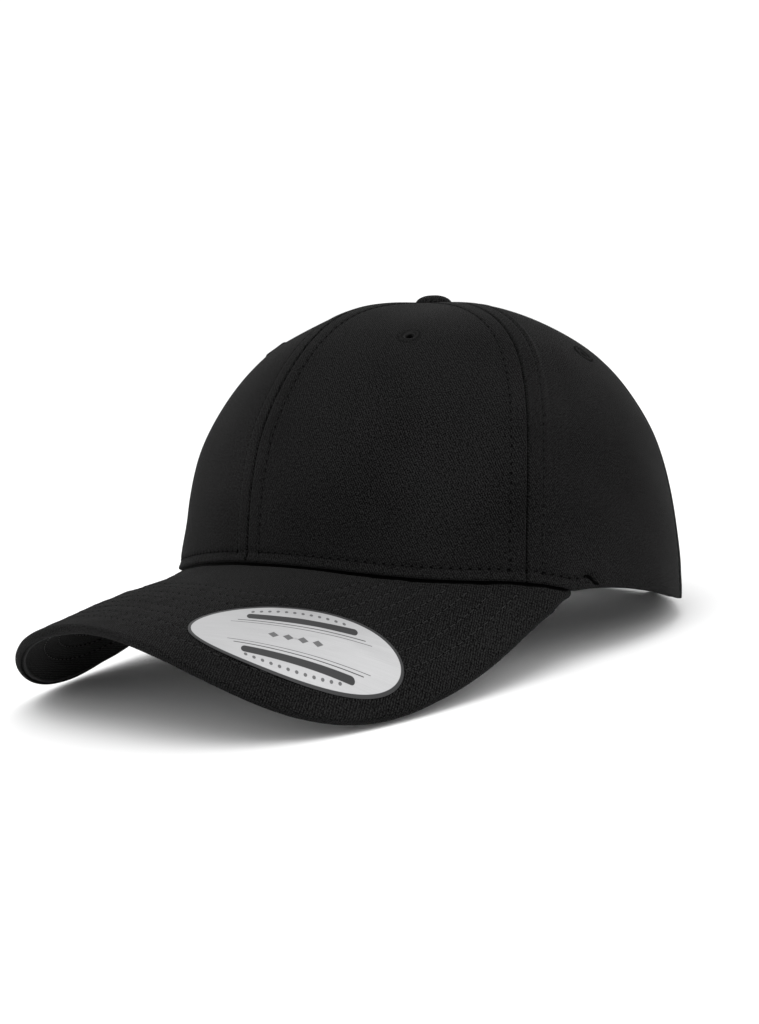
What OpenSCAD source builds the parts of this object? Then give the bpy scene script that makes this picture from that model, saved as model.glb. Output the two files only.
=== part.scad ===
// Six-panel snapback cap with a structured front and a curved visor, black cotton twill. Millimetres.
// The cap is designed in its own frame: front towards -Y, wearer's left towards +X, crown axis up.
// Module placed() then tips it back until it stands on the visor's two low edges and the rear rim.

/* [Crown] */
// half width of the head opening, ear to ear
crown_half_w = 93; // [80:0.5:105]
// half length of the head opening, front to back
crown_half_l = 87; // [80:0.5:110]
// height of the apex above the level of the visor seam
crown_h = 91.3; // [75:0.5:120]
// how far the rear rim hangs below the level of the visor seam
rear_drop = 15; // [5:0.1:35]
// height that the rim gains just behind the visor
rim_lift = 0.7; // [0:0.1:3]
// angle where the rim begins to fall towards the back
rim_fall_from = 80; // [74:1:110]
// angle over which the rim falls
rim_fall_over = 45; // [20:1:100]
// depth of the flatter zone near the top of the front panels
front_flat = 2.3; // [0:0.1:5]
// angle of the middle of that zone
flat_at = 27.5; // [10:0.5:50]
// angle over which it fades sideways
flat_wide = 26.5; // [10:0.5:50]
// share of the crown's rise where it begins
flat_from = 0.48; // [0.2:0.01:0.8]
// roundness of the plan curve of the front, going up
front_plan_power = 2.41; // [1.8:0.01:4]
// roundness of the height curve of the front, going up
front_rise_power = 3.65; // [1.8:0.01:4]
// roundness of the plan curve of the back, going up
back_plan_power = 2.05; // [1.8:0.01:4]
// roundness of the height curve of the back, going up
back_rise_power = 2.22; // [1.8:0.01:4]
// wall lean at the front rim in degrees
front_lean = 2.8; // [0:0.1:15]
// wall lean at the rear rim in degrees
back_lean = 5.1; // [0:0.1:15]
// extra fullness along the centre front seam
centre_fullness = 0.38; // [0:0.01:1]
// half angle over which that fullness fades out
centre_spread = 19; // [8:1:40]
// shift of the apex towards the back
apex_back = 2.3; // [0:0.1:10]
// shift of the shoulder of the crown towards the back
shoulder_back = 7; // [0:0.1:15]
// depth of the six valleys between the seams, as a share of the radius
valley_depth = 0.013; // [0:0.001:0.05]
// angle of the seam between front and side panel
front_seam = 61.7; // [50:0.1:70]
// angle of the seam between side and back panel
rear_seam = 121; // [110:1:130]
// thickness of a panel
panel_t = 1.2; // [0.8:0.1:2]
// open width between neighbouring panels
seam_gap = 0.3; // [0.1:0.05:0.6]
// height along the panel at which the eyelets of the front sit
front_eyelet_t = 0.525; // [0.3:0.005:0.7]
// height along the panel at which the other eyelets sit
side_eyelet_t = 0.517; // [0.3:0.005:0.7]
// open radius of an eyelet
eyelet_hole_r = 1.5; // [1:0.1:4]
// outer radius of an eyelet's thread ring
eyelet_ring_r = 4.7; // [3:0.1:8]

/* [Button] */
// radius of the covered button
button_r = 7; // [5:0.5:10]
// height of the covered button
button_h = 3.6; // [3:0.5:8]
// radius of the rivet shank
rivet_r = 1.3; // [0.8:0.1:2]

/* [Visor] */
// half width of the visor
visor_half_w = 90.9; // [75:0.5:100]
// distance ahead of the crown centre where the visor is widest
visor_wide_at = 37.5; // [20:0.5:60]
// further reach from there to the front of the visor
visor_reach = 115.5; // [90:0.5:130]
// roundness of the outline sideways
visor_side_power = 2.85; // [2:0.01:4]
// roundness of the outline forwards
visor_front_power = 2.7; // [2:0.01:4]
// forward slope in degrees
visor_slope = 16; // [5:0.5:30]
// height of the visor surface over the crown centre
visor_level = 23.8; // [15:0.1:35]
// quadratic part of the side droop at 85 mm from the centre line
droop_2 = 22.7; // [5:0.1:40]
// quartic part of the side droop at 85 mm from the centre line
droop_4 = 14.2; // [0:0.1:40]
// growth of the droop per 70 mm ahead of the crown
droop_growth = 0.611; // [0:0.005:1.5]
// fading of the droop beside the crown
droop_fade = 0.554; // [0:0.005:1.5]
// upward pull of the crown seam on the visor
seam_lift = 5; // [0:0.1:10]
// angle at which the visor ends on the crown
visor_end = 72.4; // [60:0.1:85]
// full thickness of the visor
visor_t = 3.1; // [2.4:0.1:5]
// thickness of the cloth cover
cover_t = 0.8; // [0.5:0.05:1.2]
// thickness of the stiff board
board_t = 1.3; // [1:0.05:2.5]
// distance of the first stitched row from the visor's edge
first_row = 8.4; // [5:0.1:12]
// spacing of the stitched rows
row_pitch = 4.7; // [4:0.1:10]
// number of stitched rows
row_count = 8; // [3:1:9]

/* [Back strap] */
// half angle of the rear arch opening at the rim
arch_half = 27.7; // [20:0.1:35]
// height of the rear arch along the panel
arch_t = 0.26; // [0.15:0.005:0.4]
// height of the strap band
strap_h = 18; // [14:0.5:24]
// thickness of each strap
strap_t = 1.2; // [0.8:0.1:2]
// open width between the two straps
strap_gap = 0.3; // [0.2:0.05:0.6]
// distance of each strap's bending line from the centre line
strap_hinge_x = 36.5; // [30:0.5:40]
// distance of the bending lines behind the crown centre
strap_hinge_y = 76.95; // [60:0.05:90]
// bulge of the strap band between its bending lines
strap_bulge = 6.45; // [4:0.05:14]
// spacing of pegs and holes
peg_pitch = 8; // [6:0.5:12]
// radius of a peg
peg_r = 1.7; // [1:0.1:3]
// radius of a hole
hole_r = 2.4; // [1.4:0.1:4]
// height of the strap's lower edge above the rear corner of the rim
strap_lift = 2.2; // [1:0.1:5]

/* [Lining and trim] */
// thickness of the stiffener behind the front panels
buckram_t = 0.7; // [0.4:0.1:1.5]
// half width of a seam tape
tape_half_w = 9; // [5:0.5:12]
// thickness of a seam tape
tape_t = 0.5; // [0.3:0.1:1]
// height of the sweatband
sweatband_h = 34; // [25:1:45]
// thickness of the sweatband's face cloth
sweatband_t = 0.6; // [0.4:0.1:1.5]
// width of a line of stitching
thread_w = 0.5; // [0.2:0.05:1]
// distance of the topstitching from its seam
topstitch_at = 5.5; // [3:0.1:8]
// half length of the oval sticker, seen from above
sticker_half_l = 32.0; // [15:0.1:45]
// half width of the oval sticker, seen from above
sticker_half_w = 13.4; // [8:0.1:30]
// distance of the sticker's centre from the centre line
sticker_x = 54.6; // [0:0.1:80]
// distance of the sticker's centre ahead of the crown centre
sticker_y = 114.0; // [95:0.1:140]
// turn of the sticker's long side from the cap's left-right direction
sticker_turn = 43; // [-90:1:90]

/* [Hidden] */
$fn = 32;
top_t = 0.985;
layer_gap = 0.15;
panel_cols = 8;
panel_rows = 12;
visor_cols = 32;
visor_rows = 8;
side_share = 0.9;
edge_r = 1.4;
tuck = 0.985;
visor_blend = 0.35;
visor_seam_gap = 0.6;
edge_round_steps = 3;
board_inset = cover_t + 0.3;
strap_r = (strap_hinge_x * strap_hinge_x + strap_bulge * strap_bulge) / (2 * strap_bulge);
strap_cy = strap_hinge_y + strap_bulge - strap_r;
buckram_d = panel_t + layer_gap;
front_tape_d = buckram_d + buckram_t + 0.45;
rear_tape_d = panel_t + 0.35;
binding_d = panel_t + 0.4;
root_d = binding_d + tape_t + 0.35;
root_t = 0.8;
root_gap = 1.2;
sweatband_d = front_tape_d + tape_t + 0.7;
interlining_t = 0.6;
// which piece to build, or all of them

// ---- small helpers ----
function unit(v) = v / norm(v);
function mix(a, b, k) = a + (b - a) * k;
function clamp01(k) = max(0, min(1, k));
function smooth(x) = let (c = clamp01(x)) c * c * (3 - 2 * c);

// ---- visor surface, as a height over the plan ----
function droop(x, y) =
  let (q = (x / 85) * (x / 85), ahead = (-y - crown_half_l) / 70)
  (droop_2 * q + droop_4 * q * q) * (ahead > 0 ? 1 + droop_growth * ahead : exp(droop_fade * ahead));
function visor_sheet_z(x, y) = visor_level - droop(x, y) + y * tan(visor_slope);
function seam_pull(th) = seam_lift * sin(180 * pow(clamp01(abs(th) / visor_end), 3));
function visor_top_z(x, y) =
  let (ex = x / crown_half_w, ey = -y / crown_half_l)
  let (away = clamp01((norm([ex, ey]) - 1) / visor_blend))
  visor_sheet_z(x, y) + seam_pull(atan2(ex, ey)) * pow(1 - away, 2)
    + mix(-visor_seam_gap, visor_t / 2, away);
function visor_top(p) = [p[0], p[1], visor_top_z(p[0], p[1])];
function visor_normal(p) =
  unit(cross(visor_top(p + [0.5, 0]) - visor_top(p - [0.5, 0]),
             visor_top(p + [0, 0.5]) - visor_top(p - [0, 0.5])));
function on_visor(p, d) = visor_top(p) + visor_normal(p) * d;

// ---- crown surface ----
function plan(th) = [crown_half_w * sin(th), -crown_half_l * cos(th)];
function foreness(th) = let (c = (1 + cos(th)) / 2) c * c * (3 - 2 * c);
function rim_z(th) =
  let (p = plan(min(abs(th), visor_end)), z = visor_sheet_z(p[0], p[1]))
  abs(th) <= visor_end
    ? z + seam_pull(th)
    : mix(z + rim_lift * smooth((abs(th) - visor_end) / 6), -rear_drop,
          smooth((abs(th) - rim_fall_from) / rim_fall_over));
function plan_power(th) =
  mix(back_plan_power, front_plan_power, foreness(th))
    + centre_fullness * exp(-pow(th / centre_spread, 2));
function rise_power(th) = mix(back_rise_power, front_rise_power, foreness(th));
function lean(th) = mix(back_lean, front_lean, foreness(th));
function share_up(th, phi) =
  let (h0 = pow(sin(lean(th)), 2 / rise_power(th)))
  (pow(sin(phi), 2 / rise_power(th)) - h0) / (1 - h0);
function flattening(th, t) =
  let (q = clamp01((t - flat_from) / (1 - flat_from)))
  front_flat * exp(-pow((abs(th) - flat_at) / flat_wide, 2)) * 16 * pow(q - q * q, 2);
function crown_pt(th, t) =
  let (w = th > 180 ? th - 360 : th < -180 ? th + 360 : th, phi = mix(lean(w), 90, t))
  let (r = pow(cos(phi) / cos(lean(w)), 2 / plan_power(w)), s = pow(sin(phi), 2))
  let (k = r * (1 + valley_depth * s * (cos(6 * w) - 1) / 2), p = plan(w))
  [p[0] * k, p[1] * k + apex_back * s + shoulder_back * 4 * s * (1 - s),
   mix(rim_z(w), crown_h, share_up(w, phi)) - flattening(w, t)];
function crown_normal(th, t) =
  let (e = 0.004, a = max(0, t - e), b = min(0.999, t + e))
  unit(cross(crown_pt(th + 0.5, t) - crown_pt(th - 0.5, t), crown_pt(th, b) - crown_pt(th, a)));
function on_crown(th, t, d) = crown_pt(th, t) + crown_normal(th, t) * d;
// the share t at which the wall stands h above its own rim
function t_at(th, h) =
  let (h0 = pow(sin(lean(th)), 2 / rise_power(th)), k = h / (crown_h - rim_z(th)))
  (asin(pow(mix(h0, 1, k), rise_power(th) / 2)) - lean(th)) / (90 - lean(th));
// the angle that lies w millimetres beside th, and a width that never passes the next sector
function beside(th, t, w) = th + w / norm(crown_pt(th + 0.5, t) - crown_pt(th - 0.5, t));
function fitting_w(th, t, w) = min(w, 0.5 * 57.3 * norm(crown_pt(th + 0.5, t) - crown_pt(th - 0.5, t)));

// ---- visor outline ----
function end_xy(side) = [side * crown_half_w * sin(visor_end) * 1.002, -crown_half_l * cos(visor_end)];
function edge_xy(a) =
  let (s = abs(a), side = sign(a))
  s <= side_share
    ? let (ps = 90 * (1 - pow(s / side_share, 1.45)))
      [side * visor_half_w * pow(cos(ps), 2 / visor_side_power),
       -visor_wide_at - visor_reach * pow(sin(ps), 2 / visor_front_power)]
    : mix([side * visor_half_w, -visor_wide_at], end_xy(side), (s - side_share) / (1 - side_share));
function edge_out(a) = let (d = edge_xy(min(1, a + 0.01)) - edge_xy(max(-1, a - 0.01))) unit([d[1], -d[0]]);
function inset_xy(a, w) = edge_xy(a) - edge_out(a) * w;
function seam_xy(a) = plan(a * visor_end) * tuck;

// ---- standing pose ----
function edge_low(a) = on_visor(edge_xy(a), -visor_t);
edge_steps = [for (k = [-60 : 60]) k / 60];
rear_low = crown_pt(180 - arch_half, 0);
rest_pitch = max([for (a = edge_steps) let (p = edge_low(a)) atan2(rear_low[2] - p[2], rear_low[1] - p[1])]);
function tipped_y(p) = p[1] * cos(rest_pitch) + p[2] * sin(rest_pitch);
function tipped_z(p) = p[2] * cos(rest_pitch) - p[1] * sin(rest_pitch);
front_y = min([for (a = edge_steps) tipped_y(on_visor(edge_xy(a), -edge_r))]);
back_y = max([for (k = [0 : 40]) tipped_y(crown_pt(180, k / 50))]);
strap_z = rear_low[2] + strap_lift;

module placed() {
  translate([0, -(front_y + back_y) / 2, -tipped_z(rear_low)])
    rotate([-rest_pitch, 0, 0])
      children();
}

// ---- closed sheet between two grids of points ----
module sheet(over, under) {
  rows = len(over);
  cols = len(over[0]);
  n = rows * cols;
  flat_over = [for (r = over, p = r) p];
  flat_under = [for (r = under, p = r) p];
  quads_over = [for (j = [0 : rows - 2], i = [0 : cols - 2])
    let (k = j * cols + i) each [[k, k + cols, k + 1], [k + 1, k + cols, k + cols + 1]]];
  quads_under = [for (f = quads_over) [f[0] + n, f[2] + n, f[1] + n]];
  rim = concat([for (i = [0 : cols - 1]) i],
               [for (j = [1 : rows - 1]) j * cols + cols - 1],
               [for (i = [cols - 2 : -1 : 0]) (rows - 1) * cols + i],
               [for (j = [rows - 2 : -1 : 1]) j * cols]);
  walls = [for (k = [0 : len(rim) - 1])
    let (a = rim[k], b = rim[(k + 1) % len(rim)]) each [[a, b, b + n], [a, b + n, a + n]]];
  polyhedron(points = concat(flat_over, flat_under), faces = concat(quads_over, quads_under, walls));
}

// ---- crown panels ----
seam_gap_deg = seam_gap / 2 / crown_half_w * 57.3;
module crown_sheet(th_a, th_b, t_b, d_over, d_under, cols, rows) {
  angles = [for (i = [0 : cols]) mix(th_a, th_b, i / cols)];
  sheet([for (j = [0 : rows]) [for (th = angles) on_crown(th, t_b * j / rows, d_over)]],
        [for (j = [0 : rows]) [for (th = angles) on_crown(th, t_b * j / rows, d_under)]]);
}
module at_eyelet(th, t) {
  n = crown_normal(th, t);
  translate(crown_pt(th, t))
    rotate([0, acos(n[2]), atan2(n[1], n[0])])
      children();
}
module panel_between(th_a, th_b, eyelet_t) {
  difference() {
    crown_sheet(th_a + seam_gap_deg, th_b - seam_gap_deg, top_t, 0, -panel_t, panel_cols, panel_rows);
    at_eyelet((th_a + th_b) / 2, eyelet_t)
      cylinder(r = eyelet_hole_r + 0.6, h = 12, center = true);
  }
}
// the rear panels stop at the arch: its half angle at height t
arch_rows = 6;
function arch_angle(t) = t >= arch_t ? 0 : arch_half * sqrt(1 - pow(t / arch_t, 2));
back_levels = concat([for (j = [0 : arch_rows]) arch_t * sin(90 * j / arch_rows)],
                     [for (j = [1 : panel_rows - 3]) mix(arch_t, top_t, j / (panel_rows - 3))]);
function back_grid(d) = [for (t = back_levels) [for (i = [0 : panel_cols])
  on_crown(mix(rear_seam + seam_gap_deg, 180 - max(seam_gap_deg, arch_angle(t)), i / panel_cols), t, d)]];
module back_panel() {
  difference() {
    sheet(back_grid(0), back_grid(-panel_t));
    at_eyelet((rear_seam + 180) / 2, side_eyelet_t)
      cylinder(r = eyelet_hole_r + 0.6, h = 12, center = true);
  }
}
module stiffener() {
  difference() {
    crown_sheet(seam_gap_deg, front_seam - seam_gap_deg, top_t * (panel_rows - 1) / panel_rows,
                -buckram_d, -buckram_d - buckram_t, panel_cols, panel_rows - 1);
    at_eyelet(front_seam / 2, front_eyelet_t)
      cylinder(r = eyelet_hole_r + 0.6, h = 12, center = true);
  }
}
// thread ring worked round a punched hole: a rounded collar outside, a barrel through the cloth
module eyelet(th, t, depth) {
  collar_w = (eyelet_ring_r - eyelet_hole_r) / 2;
  at_eyelet(th, t)
    rotate_extrude() {
      translate([eyelet_hole_r + collar_w, 0.25])
        scale([1, 0.55])
          intersection() {
            circle(r = collar_w);
            translate([-collar_w, 0])
              square([2 * collar_w, collar_w]);
          }
      translate([eyelet_hole_r, -depth])
        square([0.4, depth + 0.5]);
    }
}

// ---- button ----
apex = [0, apex_back, crown_h];
module button_shell(r, h, wall) {
  rotate_extrude()
    difference() {
      intersection() {
        scale([1, h / r])
          circle(r = r, $fn = 64);
        square([r, h]);
      }
      scale([1, (h - wall) / (r - wall)])
        circle(r = r - wall, $fn = 64);
      translate([-r, -h])
        square([2 * r, h]);
      translate([-r, 0])
        square([r, h]);
    }
}

// ---- lining ----
module seam_tape(th, t_a, t_b, d) {
  rows = 12;
  levels = [for (j = [0 : rows]) mix(t_a, t_b, j / rows)];
  function tape_pt(t, k, depth) = on_crown(beside(th, t, k * fitting_w(th, t, tape_half_w)), t, -depth);
  sheet([for (t = levels) [for (k = [-1 : 1]) tape_pt(t, k, d)]],
        [for (t = levels) [for (k = [-1 : 1]) tape_pt(t, k, d + tape_t)]]);
}
sweatband_end = 180 - arch_half - 3.5;
module sweatband_layer(d_over, d_under, low, high) {
  cols = 44;
  angles = [for (i = [0 : cols]) mix(-sweatband_end, sweatband_end, i / cols)];
  levels = [low, (low + high) / 2, high];
  sheet([for (h = levels) [for (th = angles) on_crown(th, t_at(th, h), -d_over)]],
        [for (h = levels) [for (th = angles) on_crown(th, t_at(th, h), -d_under)]]);
}
// a facing that follows the arch on the inside
function arch_ring_pt(turn, grow, d) =
  on_crown(180 - arch_half * grow * cos(turn), arch_t * grow * sin(turn), -d);
module arch_facing() {
  cols = 20;
  turns = [for (i = [0 : cols]) mix(0.5, 179.5, i / cols)];
  grows = [1.01, 1.2];
  sheet([for (g = grows) [for (a = turns) arch_ring_pt(a, g, binding_d)]],
        [for (g = grows) [for (a = turns) arch_ring_pt(a, g, binding_d + tape_t)]]);
}

// ---- visor pieces ----
visor_as = [for (i = [0 : visor_cols]) mix(-1, 1, i / visor_cols)];
function visor_grid(inset, d) =
  [for (j = [0 : visor_rows])
    [for (a = visor_as) on_visor(mix(inset_xy(a, inset), seam_xy(a), j / visor_rows), d)]];
// the cover's own edge: it rolls over the board and runs down the edge band
function rolled(a, depth, phi) =
  let (p = inset_xy(a, edge_r), n = visor_normal(p), o = edge_out(a))
  let (out = unit(visor_top(p + o * 0.5) - visor_top(p)), c = visor_top(p) - n * edge_r)
  c + (out * sin(phi) + n * cos(phi)) * (edge_r - depth);
function rolled_low(a, depth) =
  let (p = inset_xy(a, edge_r), n = visor_normal(p))
  rolled(a, depth, 90) - n * (visor_t - edge_r);
function cover_grid(depth) = concat(
  [[for (a = visor_as) rolled_low(a, depth)]],
  [for (k = [edge_round_steps : -1 : 1]) [for (a = visor_as) rolled(a, depth, 90 * k / edge_round_steps)]],
  visor_grid(edge_r, -depth));
// one stitched row that runs parallel to the edge, as far as the crown seam
function clear_of_crown(p) = norm([p[0] / crown_half_w, p[1] / crown_half_l]) > 1.025;
function row_as(w) =
  [for (i = [0 : 44]) let (a = mix(-0.96, 0.96, i / 44)) if (clear_of_crown(inset_xy(a, w))) a];
module visor_row(w, d_over, d_under) {
  as = row_as(w);
  sheet([for (k = [0, 1]) [for (a = as) on_visor(inset_xy(a, w + k * thread_w), d_over)]],
        [for (k = [0, 1]) [for (a = as) on_visor(inset_xy(a, w + k * thread_w), d_under)]]);
}
module visor_rows_at(d_over, d_under) {
  for (k = [0 : row_count - 1])
    visor_row(first_row + k * row_pitch, d_over, d_under);
}

// ---- topstitching of the crown ----
module seam_row(th, w, t_a, t_b) {
  rows = 12;
  levels = [for (j = [0 : rows]) mix(t_a, t_b, j / rows)];
  half = thread_w / 2;
  function side_pt(t, k, d) = on_crown(beside(th, t, fitting_w(th, t, abs(w)) * sign(w) + k), t, d);
  sheet([for (t = levels) [for (k = [-half, half]) side_pt(t, k, 0.2)]],
        [for (t = levels) [for (k = [-half, half]) side_pt(t, k, -0.15)]]);
}

// ---- strap pieces ----
// the band runs in flat facets, one per peg or hole, between its bending line and its round tip
function arc_pt(x, r) = let (a = asin(x / strap_r)) [r * sin(a), strap_cy + r * cos(a)];
function strap_pt(x, r) =
  let (a = (floor(x / peg_pitch - 0.5) + 0.5) * peg_pitch)
  mix(arc_pt(a, r), arc_pt(a + peg_pitch, r), (x - a) / peg_pitch);
strap_tip = 13.5;
strap_tip_steps = 7;
function strap_half_h(x) =
  let (past = x - strap_tip + strap_h / 2) past <= 0 ? strap_h / 2 : sqrt(pow(strap_h / 2, 2) - past * past);
strap_tip_turns = [for (k = [1 : strap_tip_steps]) 84 * k / strap_tip_steps];
strap_xs = concat([-strap_hinge_x], [for (k = [-4 : 0]) (k + 0.5) * peg_pitch],
                  [for (turn = strap_tip_turns) strap_tip - strap_h / 2 * (1 - sin(turn))]);
function strap_edge(r, up) =
  [for (x = strap_xs) let (p = strap_pt(x, r)) [p[0], p[1], strap_z + strap_h / 2 + up * strap_half_h(x)]];
module strap_band(side, r_in, r_out) {
  mirror([side < 0 ? 1 : 0, 0, 0])
    sheet([strap_edge(r_in, -1), strap_edge(r_in, 1)],
          [strap_edge(r_out, -1), strap_edge(r_out, 1)]);
}
module at_strap(x, r) {
  translate([0, strap_cy, strap_z + strap_h / 2])
    rotate([0, 0, -asin(x / strap_r)])
      translate([0, r, 0])
        rotate([-90, 0, 0])
          children();
}
// the sewn end: it lies behind the rear panel and reaches into the arch, just short of the bending line
function root_column(th, d) =
  [for (j = [0 : 2]) on_crown(th, t_at(th, strap_lift + strap_h * j / 2), -d)];
function root_end(d) =
  let (p = strap_pt(-strap_hinge_x - root_gap, strap_r - d))
  [for (j = [0 : 2]) [-p[0], p[1], strap_z + strap_h * j / 2]];
function root_grid(d, end_d) =
  let (cols = concat([for (k = [0 : 4]) root_column(180 - arch_half - 13 + 3 * k, d)], [root_end(end_d)]))
  [for (j = [0 : 2]) [for (c = cols) c[j]]];
module strap_root(side) {
  mirror([side < 0 ? 1 : 0, 0, 0])
    sheet(root_grid(root_d, 0.1), root_grid(root_d + root_t, 0.1 + root_t));
}

// ---- sticker ----
module sticker_sheet() {
  cols = 12;
  rows = 10;
  ca = cos(sticker_turn);
  sa = sin(sticker_turn);
  grid = [for (j = [0 : rows]) [for (i = [0 : cols])
    let (u = mix(-1, 1, i / cols), v = mix(-1, 1, j / rows))
    let (p = sticker_half_l * u * sqrt(1 - v * v / 2), q = sticker_half_w * v * sqrt(1 - u * u / 2))
    [sticker_x + p * ca - q * sa, -sticker_y + p * sa + q * ca]]];
  sheet([for (r = grid) [for (p = r) on_visor(p, 0.6)]],
        [for (r = grid) [for (p = r) on_visor(p, 0.4)]]);
}

// ---- one module per piece ----
cloth = [0.06, 0.06, 0.065];
lining = [0.09, 0.09, 0.095];
plastic = [0.04, 0.04, 0.045];
module front_panel_left() color(cloth) placed() panel_between(0, front_seam, front_eyelet_t);
module front_panel_right() color(cloth) placed() panel_between(-front_seam, 0, front_eyelet_t);
module side_panel_left() color(cloth) placed() panel_between(front_seam, rear_seam, side_eyelet_t);
module side_panel_right() color(cloth) placed() panel_between(-rear_seam, -front_seam, side_eyelet_t);
module back_panel_left() color(cloth) placed() back_panel();
module back_panel_right() color(cloth) placed() mirror([1, 0, 0]) back_panel();
module front_stiffener_left() color(lining) placed() stiffener();
module front_stiffener_right() color(lining) placed() mirror([1, 0, 0]) stiffener();
module front_eyelets() {
  color(cloth)
    placed()
      for (side = [-1, 1])
        eyelet(side * front_seam / 2, front_eyelet_t, 1.9);
}
module side_eyelets() {
  color(cloth)
    placed()
      for (side = [-1, 1])
        eyelet(side * (front_seam + rear_seam) / 2, side_eyelet_t, 1.3);
}
module back_eyelets() {
  color(cloth)
    placed()
      for (side = [-1, 1])
        eyelet(side * (rear_seam + 180) / 2, side_eyelet_t, 1.3);
}
module button_cover() {
  color(cloth)
    placed()
      translate(apex + [0, 0, 0.3])
        button_shell(button_r, button_h, 0.6);
}
module button_core() {
  color([0.7, 0.7, 0.72])
    placed()
      translate(apex + [0, 0, 0.3])
        difference() {
          button_shell(button_r - 0.7, button_h - 0.7, 1.2);
          cylinder(r = rivet_r + 0.02, h = button_h);
        }
}
module button_rivet() {
  color([0.7, 0.7, 0.72])
    placed()
      translate(apex) {
        translate([0, 0, -4.6])
          cylinder(r = rivet_r, h = 3.9 + button_h);
        translate([0, 0, -5.4])
          cylinder(r = 5.5, h = 0.8);
      }
}
module seam_tape_centre_front() color(lining) placed() seam_tape(0, 0.03, 0.93, front_tape_d);
module seam_tape_front_left() color(lining) placed() seam_tape(front_seam, 0.03, 0.93, front_tape_d);
module seam_tape_front_right() color(lining) placed() seam_tape(-front_seam, 0.03, 0.93, front_tape_d);
module seam_tape_rear_left() color(lining) placed() seam_tape(rear_seam, 0.03, 0.93, rear_tape_d);
module seam_tape_rear_right() color(lining) placed() seam_tape(-rear_seam, 0.03, 0.93, rear_tape_d);
module seam_tape_centre_back() color(lining) placed() seam_tape(180, arch_t * 1.24, 0.93, rear_tape_d);
module sweatband_face() {
  face_d = sweatband_d + interlining_t + 0.2;
  color(lining)
    placed()
      sweatband_layer(face_d, face_d + sweatband_t, 1, sweatband_h);
}
module sweatband_interlining() {
  color(lining)
    placed()
      sweatband_layer(sweatband_d, sweatband_d + interlining_t, 3, sweatband_h - 3);
}
module arch_binding() color(lining) placed() arch_facing();
module visor_top_cover() color(cloth) placed() sheet(cover_grid(0), cover_grid(cover_t));
module visor_board() {
  color([0.2, 0.2, 0.22])
    placed()
      sheet(visor_grid(board_inset, -cover_t - layer_gap),
            visor_grid(board_inset, -cover_t - layer_gap - board_t));
}
module visor_under_cover() {
  color(cloth)
    placed()
      sheet(visor_grid(board_inset, -cover_t - 2 * layer_gap - board_t), visor_grid(board_inset, -visor_t));
}
module crown_topstitching() {
  color(cloth)
    placed()
      for (th = [0, front_seam, -front_seam, rear_seam, -rear_seam, 180], w = [-topstitch_at, topstitch_at])
        seam_row(th, w, th == 180 ? arch_t * 1.05 : 0.01, 0.9);
}
module visor_seam_stitching() {
  cols = 30;
  as = [for (i = [0 : cols]) mix(-visor_end - 6, visor_end + 6, i / cols)];
  heights = [3.8, 3.8 + thread_w];
  color(cloth)
    placed()
      sheet([for (h = heights) [for (th = as) on_crown(th, t_at(th, h), 0.25)]],
            [for (h = heights) [for (th = as) on_crown(th, t_at(th, h), -0.15)]]);
}
module visor_top_stitching() color(cloth) placed() visor_rows_at(0.2, -0.15);
module visor_under_stitching() color(cloth) placed() visor_rows_at(-visor_t + 0.15, -visor_t - 0.2);
module hole_strap_root() color(plastic) placed() strap_root(-1);
module peg_strap_root() color(plastic) placed() strap_root(1);
module hole_strap() {
  color(plastic)
    placed()
      difference() {
        strap_band(1, strap_r + strap_gap / 2, strap_r + strap_gap / 2 + strap_t);
        for (k = [-4 : 1])
          at_strap(k * peg_pitch, strap_r)
            cylinder(r = hole_r, h = 12, center = true);
      }
}
module peg_strap() {
  color(plastic)
    placed() {
      strap_band(-1, strap_r - strap_gap / 2 - strap_t, strap_r - strap_gap / 2);
      for (k = [-1 : 4])
        at_strap(k * peg_pitch, strap_r - strap_gap / 2 - strap_t / 2)
          cylinder(r = peg_r, h = strap_t * 1.5 + strap_gap + 0.8);
    }
}
module visor_sticker() color([0.82, 0.82, 0.84]) placed() sticker_sheet();

front_panel_left();
front_panel_right();
side_panel_left();
side_panel_right();
back_panel_left();
back_panel_right();
front_stiffener_left();
front_stiffener_right();
front_eyelets();
side_eyelets();
back_eyelets();
button_cover();
button_core();
button_rivet();
seam_tape_centre_front();
seam_tape_front_left();
seam_tape_front_right();
seam_tape_rear_left();
seam_tape_rear_right();
seam_tape_centre_back();
sweatband_face();
sweatband_interlining();
arch_binding();
visor_top_cover();
visor_board();
visor_under_cover();
crown_topstitching();
visor_seam_stitching();
visor_top_stitching();
visor_under_stitching();
hole_strap_root();
hole_strap();
peg_strap_root();
peg_strap();
visor_sticker();
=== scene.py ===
import math

import bpy
import numpy as np
from mathutils import Matrix, Vector


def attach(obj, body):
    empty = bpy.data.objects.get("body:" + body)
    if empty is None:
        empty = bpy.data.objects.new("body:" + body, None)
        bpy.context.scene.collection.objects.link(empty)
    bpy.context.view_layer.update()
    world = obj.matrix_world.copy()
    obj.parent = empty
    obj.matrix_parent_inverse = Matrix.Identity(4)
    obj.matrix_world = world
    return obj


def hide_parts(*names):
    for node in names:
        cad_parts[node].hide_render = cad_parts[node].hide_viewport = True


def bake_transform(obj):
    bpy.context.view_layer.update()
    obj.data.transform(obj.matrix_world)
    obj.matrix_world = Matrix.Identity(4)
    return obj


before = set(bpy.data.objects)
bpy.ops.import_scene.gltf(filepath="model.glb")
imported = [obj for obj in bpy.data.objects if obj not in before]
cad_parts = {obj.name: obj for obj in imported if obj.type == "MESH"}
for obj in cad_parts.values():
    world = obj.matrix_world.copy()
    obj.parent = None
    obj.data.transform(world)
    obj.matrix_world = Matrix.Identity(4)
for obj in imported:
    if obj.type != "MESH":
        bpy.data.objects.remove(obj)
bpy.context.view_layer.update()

# The cap is worked out in its own frame, in millimetres: front towards -y, wearer's left towards +x, crown axis
# up. placed() tips it back as the CAD model stands and turns millimetres into metres.
MM = 0.001
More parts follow.
